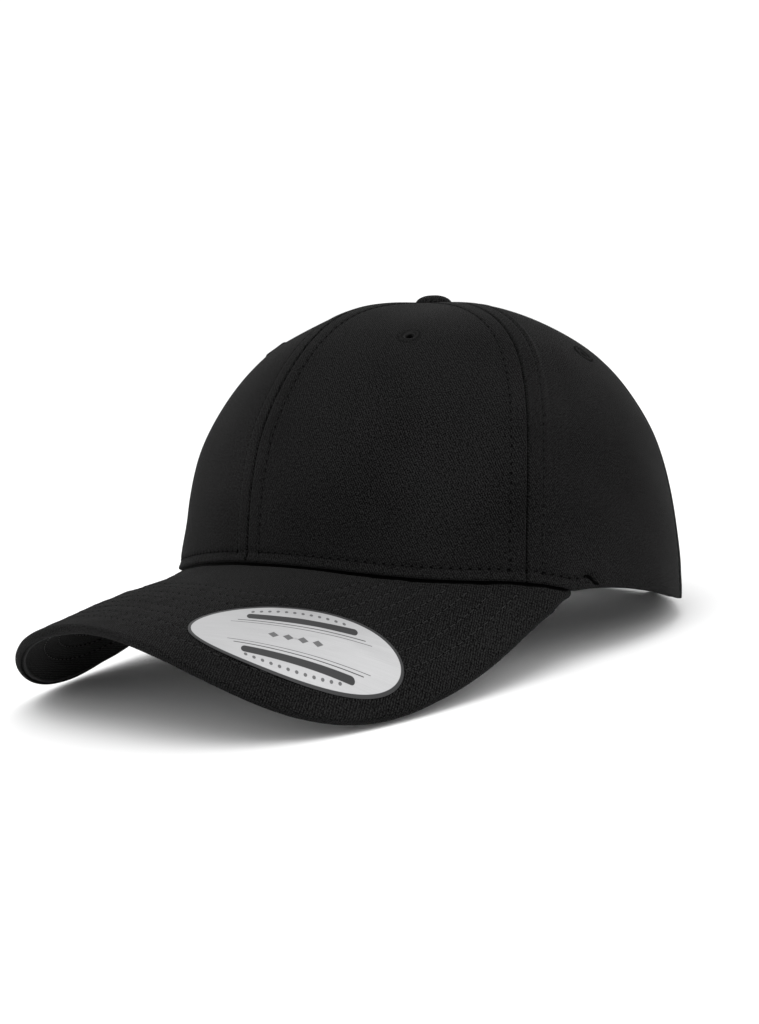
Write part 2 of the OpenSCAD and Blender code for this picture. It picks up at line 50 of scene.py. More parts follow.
HALF_W, HALF_L, CROWN_H, REAR_DROP = 93.0, 87.0, 91.3, 15.0
RIM_LIFT, RIM_FALL_FROM, RIM_FALL_OVER = 0.7, 80.0, 45.0
RIM_DIP, RIM_DIP_AT, RIM_DIP_WIDE = 0.9, -50, 14
FLAT, FLAT_AT, FLAT_WIDE, FLAT_FROM = 2.3, 27.5, 26.5, 0.48
PLAN_POWER = (2.05, 2.41)  # back, front
RISE_POWER = (2.22, 3.65)
LEAN = (5.1, 2.8)
CENTRE_FULLNESS, CENTRE_SPREAD = 0.38, 19.0
APEX_BACK, SHOULDER_BACK, VALLEY = 2.3, 7.0, 0.013
FRONT_SEAM, REAR_SEAM = 61.7, 121.0
SEAMS = (0.0, FRONT_SEAM, -FRONT_SEAM, REAR_SEAM, -REAR_SEAM, 180.0)
PANEL_T, TOP_T = 1.2, 0.985
FRONT_EYELET_T, SIDE_EYELET_T = 0.525, 0.517
HOLE_R, RING_R, PUNCH_R = 1.5, 4.7, 2.2
BUTTON_R, BUTTON_H, BUTTON_LIFT, BUTTON_CUT = 7.0, 3.6, 0.3, 19.5
VISOR_W, VISOR_WIDE, VISOR_REACH = 90.9, 37.5, 115.5
VISOR_POWERS = (2.85, 2.70)  # sideways, forwards
SLOPE, LEVEL = 16.0, 23.8
DROOP_2, DROOP_4, DROOP_GROWTH, DROOP_FADE = 22.7, 14.2, 0.611, 0.554
SEAM_LIFT, VISOR_END, VISOR_T, COVER_T, BOARD_T = 5.0, 72.4, 3.1, 0.8, 1.3
EDGE_R, UNDER_R, TUCK, VISOR_BLEND, SEAM_DROP, SIDE_SHARE = 1.4, 1.0, 0.985, 0.35, 0.6, 0.9
LAYER_GAP = 0.15
BOARD_INSET = COVER_T + 0.3
FIRST_ROW, ROW_PITCH, ROW_COUNT = 8.4, 4.7, 8
ARCH_HALF, ARCH_T = 27.7, 0.26
STRAP_H, STRAP_T, STRAP_GAP, STRAP_LIFT = 18.0, 1.2, 0.3, 2.2
HINGE_X, HINGE_Y, STRAP_BULGE = 36.5, 76.95, 6.45
PEG_PITCH, PEG_R, STRAP_HOLE_R, STRAP_TIP = 8.0, 1.7, 2.4, 13.5
STRAP_R = (HINGE_X**2 + STRAP_BULGE**2) / (2 * STRAP_BULGE)
STRAP_CY = HINGE_Y + STRAP_BULGE - STRAP_R
BUCKRAM_D, BUCKRAM_T = PANEL_T + LAYER_GAP, 0.7
TAPE_HALF_W, TAPE_T = 9.0, 0.5
FRONT_TAPE_D = BUCKRAM_D + BUCKRAM_T + 0.45
REAR_TAPE_D = PANEL_T + 0.35
SWEAT_D, SWEAT_T, SWEAT_H, INTERLINING_T = FRONT_TAPE_D + TAPE_T + 0.7, 0.6, 34.0, 0.6
SWEAT_END = 180 - ARCH_HALF - 3.5
TOPSTITCH_AT, SEAM_ROW_H = 5.5, 3.8
PITCH, THREAD_R, STITCH_STATIONS = 3.0, 0.23, 9  # a stitch and its gap; its thread
STICKER_L, STICKER_W, STICKER_X, STICKER_Y, STICKER_TURN = 32.0, 13.4, 54.6, 114.0, 43.0
DOT_PITCH, LOZENGE_PITCH = 2.5, 4.4


# ---- numbers and fields ----
def mix(a, b, k):
    return a + (b - a) * k


def smooth(x):
    x = np.clip(x, 0, 1)
    return x * x * (3 - 2 * x)


def bump(x, centre, width):
    return np.exp(-(((x - centre) / width) ** 2))


def unit(v):
    return v / np.maximum(np.linalg.norm(v, axis=-1, keepdims=True), 1e-12)


def sind(a):
    return np.sin(np.radians(a))


def cosd(a):
    return np.cos(np.radians(a))


def ripples(p, shortest, longest, seed, count=14):
    """Soft seeded unevenness over points in millimetres, about -1 to 1."""
    r = np.random.default_rng(seed)
    out = np.zeros(p.shape[:-1])
    for _ in range(count):
        direction = unit(r.normal(size=3))
        length = r.uniform(shortest, longest)
        out += np.sin(2 * math.pi * (p @ direction) / length + r.uniform(0, 2 * math.pi))
    return out / math.sqrt(count)


# ---- visor surface ----
def past_crown(xy):
    """Millimetres in front of the crown's foot, for points in plan."""
    return (np.hypot(xy[..., 0] / HALF_W, xy[..., 1] / HALF_L) - 1) * HALF_L


def droop(x, y):
    q = (x / 85) ** 2
    ahead = (-y - HALF_L) / 70
    growth = np.where(ahead > 0, 1 + DROOP_GROWTH * ahead, np.exp(DROOP_FADE * np.minimum(ahead, 0)))
    return (DROOP_2 * q + DROOP_4 * q * q) * growth


def visor_sheet_z(x, y):
    return LEVEL - droop(x, y) + y * math.tan(math.radians(SLOPE))


def seam_pull(th):
    return SEAM_LIFT * np.sin(math.pi * np.clip(np.abs(th) / VISOR_END, 0, 1) ** 3)


def visor_top_z(x, y):
    ex, ey = x / HALF_W, -y / HALF_L
    away = np.clip((np.hypot(ex, ey) - 1) / VISOR_BLEND, 0, 1)
    pull = seam_pull(np.degrees(np.arctan2(ex, ey))) * (1 - away) ** 2
    return visor_sheet_z(x, y) + pull + mix(-SEAM_DROP, VISOR_T / 2, away)


def visor_top(xy):
    return np.stack([xy[..., 0], xy[..., 1], visor_top_z(xy[..., 0], xy[..., 1])], -1)


def visor_normal(xy):
    e = np.array([0.5, 0.0]), np.array([0.0, 0.5])
    across, along = (visor_top(xy + d) - visor_top(xy - d) for d in e)
    return unit(np.cross(across, along))


def on_visor(xy, d):
    return visor_top(xy) + visor_normal(xy) * np.asarray(d, float)[..., None]


def edge_xy(a):
    s, side = np.abs(a), np.sign(a)
    ps = 90 * (1 - (np.minimum(s, SIDE_SHARE) / SIDE_SHARE) ** 1.45)
    x = VISOR_W * np.maximum(cosd(ps), 0) ** (2 / VISOR_POWERS[0])
    y = -VISOR_WIDE - VISOR_REACH * np.maximum(sind(ps), 0) ** (2 / VISOR_POWERS[1])
    k = np.clip((s - SIDE_SHARE) / (1 - SIDE_SHARE), 0, 1)
    end = HALF_W * sind(VISOR_END) * 1.002, -HALF_L * cosd(VISOR_END)
    x = np.where(s <= SIDE_SHARE, x, mix(VISOR_W, end[0], k))
    y = np.where(s <= SIDE_SHARE, y, mix(-VISOR_WIDE, end[1], k))
    return np.stack([side * x, y], -1)


def edge_out(a):
    d = edge_xy(np.minimum(1, a + 0.01)) - edge_xy(np.maximum(-1, a - 0.01))
    return unit(np.stack([d[..., 1], -d[..., 0]], -1))


def inset_xy(a, w):
    return edge_xy(a) - edge_out(a) * np.asarray(w, float)[..., None]


def plan(th):
    return np.stack([HALF_W * sind(th), -HALF_L * cosd(th)], -1)


def even_edge(count):
    """Values of a that are evenly spaced along the visor's outline."""
    a = np.linspace(-1, 1, 4001)
    p = edge_xy(a)
    run = np.concatenate([[0], np.cumsum(np.linalg.norm(np.diff(p, axis=0), axis=1))])
    return np.interp(np.linspace(0, run[-1], count), run, a)


# ---- crown surface ----
def wrap(th):
    return np.where(th > 180, th - 360, np.where(th < -180, th + 360, th))


def foreness(th):
    c = (1 + cosd(th)) / 2
    return c * c * (3 - 2 * c)


def rim_z(th):
    t = np.abs(th)
    p = plan(np.minimum(t, VISOR_END))
    z = visor_sheet_z(p[..., 0], p[..., 1])
    side = z + RIM_LIFT * smooth((t - VISOR_END) / 6)
    rear = mix(side, -REAR_DROP, smooth((t - RIM_FALL_FROM) / RIM_FALL_OVER))
    return np.where(t <= VISOR_END, z + seam_pull(th), rear) - RIM_DIP * bump(th, RIM_DIP_AT, RIM_DIP_WIDE)


def crown_pt(th, t):
    w, t = np.broadcast_arrays(wrap(np.asarray(th, float)), np.asarray(t, float))
    f = foreness(w)
    plan_power = mix(*PLAN_POWER, f) + CENTRE_FULLNESS * np.exp(-((w / CENTRE_SPREAD) ** 2))
    rise_power, lean = mix(*RISE_POWER, f), mix(*LEAN, f)
    phi = mix(lean, 90, t)
    r = (np.maximum(cosd(phi), 0) / cosd(lean)) ** (2 / plan_power)
    s = sind(phi) ** 2
    k = r * (1 + VALLEY * s * (cosd(6 * w) - 1) / 2)
    p, z0 = plan(w), rim_z(w)
    h0 = sind(lean) ** (2 / rise_power)
    up = (sind(phi) ** (2 / rise_power) - h0) / (1 - h0)
    y = p[..., 1] * k + APEX_BACK * s + SHOULDER_BACK * 4 * s * (1 - s)
    q = np.clip((t - FLAT_FROM) / (1 - FLAT_FROM), 0, 1)
    flat = FLAT * bump(np.abs(w), FLAT_AT, FLAT_WIDE) * 16 * (q - q * q) ** 2
    return np.stack([p[..., 0] * k, y, z0 + (CROWN_H - z0) * up - flat], -1)


def crown_normal(th, t):
    e = 0.003
    t = np.asarray(t, float)
    a, b = np.maximum(0, t - e), np.minimum(0.999, t + e)
    th = np.asarray(th, float)
    return unit(np.cross(crown_pt(th + 0.4, t) - crown_pt(th - 0.4, t), crown_pt(th, b) - crown_pt(th, a)))


def on_crown(th, t, d):
    return crown_pt(th, t) + crown_normal(th, t) * np.asarray(d, float)[..., None]


def t_at(th, h):
    """The share t at which the wall stands h millimetres above its own rim."""
    f = foreness(th)
    rise_power, lean = mix(*RISE_POWER, f), mix(*LEAN, f)
    h0 = sind(lean) ** (2 / rise_power)
    k = h / (CROWN_H - rim_z(th))
    return (np.degrees(np.arcsin(np.clip(mix(h0, 1, k), 0, 1) ** (rise_power / 2))) - lean) / (90 - lean)


def mm_per_degree(th, t):
    return np.linalg.norm(crown_pt(th + 0.5, t) - crown_pt(th - 0.5, t), axis=-1)


def beside(th, t, w):
    """The angle that lies w millimetres beside th, and no further than half a sector."""
    per_degree = mm_per_degree(th, t)
    room = 0.5 * 57.3 * per_degree
    return th + np.clip(w, -room, room) / per_degree


# ---- standing pose ----
def standing():
    a = np.arange(-60, 61) / 60
    low = on_visor(edge_xy(a), -VISOR_T)
    rear = crown_pt(180 - ARCH_HALF, 0.0)
    pitch = np.arctan2(rear[2] - low[:, 2], rear[1] - low[:, 1]).max()
    c, s = math.cos(pitch), math.sin(pitch)
    front = on_visor(edge_xy(a), -EDGE_R)
    back = crown_pt(180.0, np.arange(41) / 50)
    y_front, y_back = (front[:, 1] * c + front[:, 2] * s).min(), (back[:, 1] * c + back[:, 2] * s).max()
    return c, s, -(y_front + y_back) / 2, -(rear[2] * c - rear[1] * s)


TIP_C, TIP_S, TIP_DY, TIP_DZ = standing()
TIP = np.array([[1, 0, 0], [0, TIP_C, TIP_S], [0, -TIP_S, TIP_C]])


def placed(p):
    return (np.asarray(p, float) @ TIP.T + np.array([0, TIP_DY, TIP_DZ])) * MM


# ---- meshes ----
def grid_quads(rows, cols, wrap_rows=False, wrap_cols=False):
    j, i = np.meshgrid(np.arange(rows - (not wrap_rows)), np.arange(cols - (not wrap_cols)), indexing="ij")
    j2, i2 = (j + 1) % rows, (i + 1) % cols
    return np.stack([j * cols + i, j * cols + i2, j2 * cols + i2, j2 * cols + i], -1).reshape(-1, 4)


def added(name, data):
    thing = bpy.data.objects.new(name, data)
    bpy.context.scene.collection.objects.link(thing)
    return thing


def as_piece(name, mesh, look, nodes, sharp=50.0, body="cap", shares=()):
    """A piece from points in the cap's frame, quads and uv; a quad whose last point repeats its first is a triangle.
    Further uv columns become point attributes, named in shares, for the material to read."""
    (points, quads, uv), (slot, material) = mesh, look
    uv = np.asarray(uv, np.float32)
    counts = np.where(quads[:, 3] == quads[:, 0], 3, 4)
    loops = quads[np.arange(4)[None, :] < counts[:, None]].astype(np.int32)
    data = bpy.data.meshes.new(name)
    data.vertices.add(len(points))
    data.vertices.foreach_set("co", placed(points).astype(np.float32).ravel())
    data.loops.add(len(loops))
    data.loops.foreach_set("vertex_index", loops)
    data.polygons.add(len(quads))
    data.polygons.foreach_set("loop_start", (np.cumsum(counts) - counts).astype(np.int32))
    data.uv_layers.new(name="cloth").data.foreach_set("uv", uv[:, :2][loops].ravel())
    data.polygons.foreach_set("use_smooth", np.ones(len(quads), bool))
    data.update(calc_edges=True)
    data.validate()
    if sharp:
        data.set_sharp_from_angle(angle=math.radians(sharp))
    data.materials.append(material)
    for k, share in enumerate(shares):
        data.attributes.new(share, "FLOAT", "POINT").data.foreach_set("value", uv[:, 2 + k].copy())
    piece = added(name, data)
    if body:
        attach(piece, body)
    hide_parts(*nodes)
    return piece


def open_edges(quads):
    """The edges that only one quad has."""
    edges, n = np.concatenate([quads[:, [k, (k + 1) % 4]] for k in range(4)]), quads.max() + 1
    return edges[~np.isin(edges[:, 0] * n + edges[:, 1], edges[:, 1] * n + edges[:, 0])]


def closed(over, under, quads, uv):
    """Points, faces and uv of the closed sheet between two layers that share quads; holes in quads get walls too."""
    n, rim = len(over), open_edges(quads)
    walls = np.stack([rim[:, 1], rim[:, 0], rim[:, 0] + n, rim[:, 1] + n], -1)
    faces = np.concatenate([quads, quads[:, ::-1] + n, walls])
    points = np.concatenate([over, under])
    used, faces = np.unique(faces, return_inverse=True)
    return points[used], faces.reshape(-1, 4), np.concatenate([uv, uv])[used]


def punch(over, under, quads, centre, radius):
    """Cuts a round hole through both layers and draws its rim onto the circle."""
    middle = over[quads].mean(1)
    quads = quads[np.linalg.norm(middle - centre, axis=1) > radius * 1.15]
    rim = open_edges(quads).ravel()
    rim = np.unique(rim[np.linalg.norm(over[rim] - centre, axis=1) < radius * 2.4])
    axis = unit((over[rim] - under[rim]).mean(0))
    for layer in (over, under):
        offset = layer[rim] - centre
        along = (offset @ axis)[:, None] * axis
        layer[rim] = centre + along + unit(offset - along) * radius
    return quads


def run_lengths(points, axis):
    steps = np.linalg.norm(np.diff(points, axis=axis), axis=-1)
    zero = np.zeros_like(np.take(steps, [0], axis=axis))
    return np.cumsum(np.concatenate([zero, steps], axis=axis), axis=axis)


def tubes(paths, radii, sides=6):
    """Capped tubes of one material: paths (n, stations, 3), radii (n or 1, stations). Returns points, faces, uv."""
    n, stations, _ = paths.shape
    tangent = unit(np.gradient(paths, axis=1))
    spread = np.abs(tangent).mean((0, 1))
    helper = np.eye(3)[int(spread.argmin())]
    side = unit(np.cross(tangent, helper))
    up = np.cross(side, tangent)
    turn = 2 * math.pi * np.arange(sides) / sides
    ring = side[:, :, None] * np.cos(turn)[:, None] + up[:, :, None] * np.sin(turn)[:, None]
    points = paths[:, :, None] + ring * np.broadcast_to(radii, (n, stations))[:, :, None, None]
    run = run_lengths(paths, 1)
    uv = np.stack(np.broadcast_arrays(run[:, :, None], turn[None, None]), -1)
    quads = grid_quads(stations, sides, wrap_cols=True)[:, ::-1]
    ends = [[0, k, k + 1, 0] for k in range(1, sides - 1)]
    last = (stations - 1) * sides
    ends += [[last, last + k + 1, last + k, last] for k in range(1, sides - 1)]
    one = np.concatenate([quads, np.array(ends)])
    faces = (one[None] + (np.arange(n) * stations * sides)[:, None, None]).reshape(-1, 4)
    return points.reshape(-1, 3), faces, uv.reshape(-1, 2)


def resampled(at, run, points):
    """Points at given lengths along a line that has its own run lengths."""
    return np.stack([np.interp(at, run, points[:, k]) for k in range(3)], -1)


def stitched(line, normals, rise=0.1, dip=0.4, pitch=PITCH, radius=THREAD_R, fat=0.45):
    """Single stitches along a line on a surface: each lies on the cloth and dives into it at both ends."""
    run = run_lengths(line, 0)
    count = max(1, int(run[-1] / pitch))
    share = np.linspace(-1, 1, STITCH_STATIONS)
    at = (np.arange(count)[:, None] + 0.5 + share / 2) * run[-1] / count
    points, n = resampled(at, run, line), unit(resampled(at, run, normals))
    height = rise - (rise + dip) * np.abs(share) ** 8
    points, faces, uv = tubes(points + n * height[:, None], radius * (0.9 + fat * np.abs(share) ** 3)[None])
    return points, faces, along_share(uv, count, share)


def along_share(uv, count, share):
    """Puts each thread's share of its own length into u, so that the material can paint shade where it enters the
    cloth.
    """
    turn = uv.reshape(count, len(share), -1, 2)[..., 1]
    u = np.broadcast_to(share[None, :, None], turn.shape)
    return np.stack([u, turn], -1).reshape(-1, 2)


def joined(parts):
    points, faces, uv = zip(*parts)
    base = np.cumsum([0] + [len(p) for p in points])
    return np.concatenate(points), np.concatenate([f + b for f, b in zip(faces, base)]), np.concatenate(uv)


def lathe(profile, turns, centre, axis=(0, 0, 1), x_axis=(1, 0, 0), wobble=None, ring=False):
    """A turned shape from (radius, height) pairs that starts and ends on its axis, or a ring from a closed profile."""
    axis, x_axis = unit(np.asarray(axis, float)), np.asarray(x_axis, float)
    x_axis = unit(x_axis - axis * (x_axis @ axis))
    a = 2 * math.pi * np.arange(turns) / turns
    r, z = (np.asarray(profile, float)[:, k, None] * np.ones(turns) for k in (0, 1))
    r = np.maximum(r, 0.01)
    if wobble is not None:
        r, z = wobble(r, z, a[None])
    flat = np.stack([r * np.cos(a), r * np.sin(a)], -1)
    points = centre + flat @ np.stack([x_axis, np.cross(axis, x_axis)]) + z[..., None] * axis
    quads = grid_quads(len(profile), turns, wrap_rows=ring, wrap_cols=True)
    if not ring:
        last = (len(profile) - 1) * turns
        caps = [[0, k + 1, k, 0] for k in range(1, turns - 1)]
        caps += [[last, last + k, last + k + 1, last] for k in range(1, turns - 1)]
        quads = np.concatenate([quads, caps])
    return points.reshape(-1, 3), quads, flat.reshape(-1, 2)


def facing_out(over, under, quads):
    """The quads, turned round if their winding looks towards the under layer."""
    a, b, c = (over[quads[:, k]] for k in range(3))
    inwards = ((over - under)[quads[:, 0]] * np.cross(b - a, c - a)).sum() < 0
    return quads[:, ::-1] if inwards else quads


def cloth(name, over, under, uv, look, node, hole=None, shares=()):
    """A closed sheet between two (rows, cols, 3) layers. Without a uv, cloth is laid out by the lengths along its own
    rows and columns."""
    shape, quads = over.shape, grid_quads(*over.shape[:2])
    over, under = over.reshape(-1, 3).copy(), under.reshape(-1, 3).copy()
    quads = facing_out(over, under, quads)
    if hole:
        quads = punch(over, under, quads, *hole)
    if uv is None:
        uv = np.stack([run_lengths(over.reshape(shape), 1), run_lengths(over.reshape(shape), 0)], -1)
    uv = np.concatenate([uv] + [share[..., None] for _, share in shares], -1).reshape(len(over), -1)
    piece = as_piece(name, closed(over, under, quads, uv), look, [node], shares=[word for word, _ in shares])


# ---- materials ----
class Graph:
    """A material's node tree, built by short calls that return output sockets."""

    def __init__(self, name):
        self.material = bpy.data.materials.new(name)
        self.material.use_nodes = True
        self.tree = self.material.node_tree
        self.shader = self.tree.nodes["Principled BSDF"]

    def node(self, kind, inputs=(), **settings):
        n = self.tree.nodes.new(kind)
        for key, value in settings.items():
            setattr(n, key, value)
        for key, value in dict(inputs).items():
            self.put(n.inputs[key], value)
        return n

    def put(self, socket, value):
        """Links a socket or sets its value; one number on a colour is a grey."""
        if isinstance(value, bpy.types.NodeSocket):
            self.tree.links.new(value, socket)
        elif socket.type == "RGBA":
            socket.default_value = (*(value if isinstance(value, tuple) else (value,) * 3), 1.0)
        else:
            socket.default_value = value

    def math(self, operation, *values):
        return self.node("ShaderNodeMath", enumerate(values), operation=operation).outputs[0]

    def chain(self, operation, first, *rest):
        for value in rest:
            first = self.math(operation, first, value)
        return first

    def add(self, *values):
        return self.chain("ADD", *values)

    def mul(self, *values):
        return self.chain("MULTIPLY", *values)

    def most(self, *values):
        return self.chain("MAXIMUM", *values)

    def size(self, a):
        return self.math("ABSOLUTE", a)

    def length(self, a, b):
        return self.math("SQRT", self.add(self.mul(a, a), self.mul(b, b)))

    def wave(self, x, cycles=1.0):
        """0 to 1 and back, cycles times per unit of x."""
        return self.math("MULTIPLY_ADD", self.math("COSINE", self.mul(x, 2 * math.pi * cycles)), 0.5, 0.5)

    def noise(self, scale, vector, detail=3.0, roughness=0.5):
        values = {"Scale": scale, "Detail": detail, "Roughness": roughness, "Vector": vector}
        return self.node("ShaderNodeTexNoise", values).outputs["Fac"]

    def stretched(self, vector, scale):
        return self.node("ShaderNodeMapping", {"Vector": vector, "Scale": scale}).outputs[0]

    def ramp(self, value, low, high, to_low=0.0, to_high=1.0):
        values = {"Value": value, "From Min": low, "From Max": high, "To Min": to_low, "To Max": to_high}
        return self.node("ShaderNodeMapRange", values).outputs[0]

    def colour(self, factor, a, b):
        return self.node("ShaderNodeMix", {0: factor, 6: a, 7: b}, data_type="RGBA").outputs[2]

    def painted(self, name):
        return self.node("ShaderNodeAttribute", attribute_name=name).outputs["Fac"]

    def cloth_uv(self):
        uv = self.node("ShaderNodeUVMap", uv_map="cloth").outputs[0]
        return uv, *self.node("ShaderNodeSeparateXYZ", {"Vector": uv}).outputs[:2]

    def place(self):
        return self.node("ShaderNodeTexCoord").outputs["Object"]

    def finish(self, base, rough, height, distance, strength=1.0, **fixed):
        bump_node = self.node("ShaderNodeBump", {"Height": height, "Distance": distance, "Strength": strength})
        fixed.update(Base_Color=base, Roughness=rough, Normal=bump_node.outputs[0])
        for key, value in fixed.items():
            self.put(self.shader.inputs[key.replace("_", " ")], value)
        return self.material


WALE = (1.225, 0.710)  # cycles of the twill's diagonal per millimetre across and along the cloth
CROSSING = (-0.95, 1.05)  # cycles of the shorter opposite diagonal, where the yarns cross
WARP_PITCH = 0.272


def twill_material(name, dark, light):
    """Twill: steep diagonal wales broken into floats by the yarns, speckled with fuzz, slightly uneven dye, with a
    painted highlight and painted shade where point attributes ask for them.
    """
    g = Graph(name)
    uv, u, v = g.cloth_uv()
    drift = g.add(g.noise(0.35, uv, 2.0), g.noise(1.1, uv, 2.0))
    wale = g.wave(g.add(g.mul(u, WALE[0]), g.mul(v, WALE[1]), g.mul(drift, 0.8)))
    crossing = g.wave(g.add(g.mul(u, CROSSING[0]), g.mul(v, CROSSING[1]), drift))
    floats = g.mul(wale, g.math("MULTIPLY_ADD", crossing, 0.6, 0.4))
    speck = g.ramp(g.noise(3.4, uv, 3.0, 0.75), 0.33, 0.67)
    grain, fuzz, patches = g.noise(2.1, uv, 2.0, 0.7), g.noise(1.15, uv, 4.0, 0.85), g.noise(28.0, g.place())
    height = g.add(g.mul(floats, 0.50), g.mul(g.wave(u, 1 / WARP_PITCH), 0.08), g.mul(speck, 0.55), g.mul(grain, 0.5))
    tone = g.add(g.ramp(height, 0.49, 1.15), g.ramp(patches, 0.3, 0.7, -0.10, 0.10),
                 g.ramp(grain, 0.32, 0.68, -0.36, 0.36), g.ramp(fuzz, 0.35, 0.65, -0.30, 0.30))
    # painted highlight: the attribute lifts the colour towards light grey, broken up by the speckle
    painted_highlight = g.mul(g.painted("painted_highlight"), g.ramp(speck, 0.0, 0.6, 0.3, 0.8))
    base = g.colour(painted_highlight, g.colour(tone, dark, light), 0.055)
    # painted shade: where the attribute is 1 the colour is taken down to black
    base = g.colour(g.math("SUBTRACT", 1.0, g.painted("painted_shade")), 0.0, base)
    return g.finish(base, g.ramp(height, 0.4, 1.3, 0.95, 0.78), height, 0.0001, Specular_IOR_Level=0.02,
                    Sheen_Weight=0.03, Sheen_Roughness=0.4, Sheen_Tint=0.92)


def thread_material(name, dark, light, painted_hole_shade=0.0002, shade_from=0.58):
    """Two-ply sewing thread: its twist runs round the tube, and its colour is painted dark where it enters its needle
    hole, as the hole's shade.
    """
    g = Graph(name)
    _, along, turn = g.cloth_uv()
    twist = g.wave(g.add(g.mul(along, 1.9), g.mul(turn, 1 / math.pi)))
    # painted shade at the thread's ends, where it dives into the cloth
    painted_end_shade = g.ramp(g.size(along), shade_from, shade_from + 0.14)
    fuzz = g.noise(9.0, g.stretched(g.place(), (120, 120, 120)))
    height = g.add(g.mul(twist, 0.7), g.mul(fuzz, 0.3))
    base = g.colour(painted_end_shade, g.colour(height, dark, light), painted_hole_shade)
    return g.finish(base, g.ramp(height, 0, 1, 0.8, 0.6), height, 0.00008, Specular_IOR_Level=0.01,
                    Sheen_Weight=0.01, Sheen_Roughness=0.4)


def weave_material(name, dark, light, pitch, distance, ribs=0.0):
    """Plain weave for tape, lining and stiffener: crossing yarns of a given pitch, or a herringbone if ribs is set."""
    g = Graph(name)
    uv, u, v = g.cloth_uv()
    if ribs:
        diagonal = g.wave(g.add(g.mul(g.math("PINGPONG", u, ribs), 1.1), v), 0.9 / pitch / 2)
        height = g.mul(diagonal, g.math("MULTIPLY_ADD", g.wave(u, 1 / pitch), 0.3, 0.7))
    else:
        over = g.mul(*(g.math("SINE", g.mul(k, math.pi / pitch)) for k in (u, v)))
        height = g.math("MULTIPLY_ADD", over, 0.5, 0.5)
    height = g.add(g.mul(height, 0.75), g.mul(g.noise(3.0, uv, 3.0, 0.6), 0.4))
    tone = g.add(g.ramp(height, 0.2, 1.0), g.ramp(g.noise(30.0, g.place(), 2.0), 0.3, 0.7, -0.15, 0.15))
    return g.finish(g.colour(tone, dark, light), g.ramp(height, 0, 1, 0.95, 0.75), height, distance,
                    Specular_IOR_Level=0.2, Sheen_Weight=0.1, Sheen_Roughness=0.5)


def rubbed_material(name, grain, marks, base, dull, rough, distance, strength, **fixed):
    """A hard material with a fine grain all over, and patches rubbed to another colour and roughness."""
    g = Graph(name)
    rubs = g.noise(marks[0], g.place(), 5.0, marks[1])
    colour, grain = g.colour(g.ramp(rubs, 0.35, 0.7), base, dull), g.noise(grain, g.place(), 2.0)
    return g.finish(colour, g.ramp(rubs, *rough), grain, distance, strength, **fixed)


def board_material():
    """Recycled polyethylene board, faintly mottled."""
    g = Graph("board")
    mottle = g.noise(70.0, g.place(), 4.0)
    base = g.colour(mottle, (0.05, 0.05, 0.055), (0.09, 0.09, 0.095))
    return g.finish(base, g.ramp(mottle, 0.3, 0.7, 0.5, 0.65), mottle, 0.00005, 0.5)


def foil_material():
    """Brushed silver foil with a plain printed pattern: a dark edge, dotted arcs, two bars, fine rules and lozenges."""
    g = Graph("sticker")
    uv, u, v = g.cloth_uv()  # -1 to 1 over the oval
    p, q = g.mul(u, STICKER_L), g.mul(v, STICKER_W)
    brush = g.noise(1.0, g.stretched(uv, (2.0, 190.0, 1.0)), 3.0, 0.6)
    rho = g.length(u, v)
    steepness = g.length(g.math("DIVIDE", u, STICKER_L), g.math("DIVIDE", v, STICKER_W))
    inset = g.math("DIVIDE", g.mul(g.math("SUBTRACT", 1.0, rho), rho), steepness)

    def bar(middle, half_l, half_w):
        """A straight bar with round ends."""
        over = g.most(g.math("SUBTRACT", g.size(g.math("SUBTRACT", p, 1.3)), half_l), 0.0)
        return g.ramp(g.length(over, g.math("SUBTRACT", q, middle)), half_w + 0.06, half_w - 0.06)

    def from_middle(pitch):
        """How far a point lies beside the middle of its own step."""
        step = g.math("FRACT", g.math("DIVIDE", p, pitch))
        return g.mul(g.math("SUBTRACT", step, 0.5), pitch)

    def within(shape, reach):
        return g.mul(shape, g.math("LESS_THAN", g.size(p), reach))

    bars = [bar(*size) for size in ((7.0, 15.5, 1.15), (-7.3, 15.5, 1.15), (4.9, 19.0, 0.13), (3.9, 21.0, 0.08),
                                    (-5.2, 19.0, 0.13), (-4.2, 21.0, 0.08))]
    dot = g.ramp(g.length(from_middle(DOT_PITCH), g.math("SUBTRACT", inset, 2.9)), 0.58, 0.46)
    lozenge = g.add(g.mul(g.size(from_middle(LOZENGE_PITCH)), 1 / 1.7), g.math("DIVIDE", g.size(q), 1.15))
    marks = g.most(within(dot, 6 * DOT_PITCH), within(g.ramp(lozenge, 1.0, 0.9), 2 * LOZENGE_PITCH))
    ink = g.most(*bars, g.ramp(inset, 0.95, 0.85), g.mul(marks, 0.8))
    base = g.colour(ink, g.colour(brush, (0.33, 0.33, 0.335), (0.56, 0.56, 0.565)), (0.022, 0.022, 0.023))
    return g.finish(base, g.math("MULTIPLY_ADD", brush, 0.18, 0.32), brush, 0.00002, 0.35,
                    Metallic=g.math("MULTIPLY_ADD", ink, -0.75, 0.75), Specular_IOR_Level=0.3)


def floor_material():
    """Matt white studio floor."""
    g = Graph("floor")
    grain = g.noise(6.0, g.place())
    return g.finish(g.colour(grain, 0.90, 0.93), 0.9, grain, 0.0002, 0.1)


# each look is a material slot of the record and the material for it
BLACK = "black_twill", twill_material("black_twill", 0.0002, 0.0180)
# the underside's cloth is the same twill, given a lighter colour as painted light
UNDER = "under_twill", twill_material("under_twill", 0.0003, 0.0230)
ROW_THREAD = "thread", thread_material("row_thread", 0.0060, 0.0400, shade_from=0.62)
THREAD = "thread", thread_material("thread", 0.0030, 0.0160)
UNDER_THREAD = "thread", thread_material("under_thread", 0.030, 0.100, 0.002, 0.5)
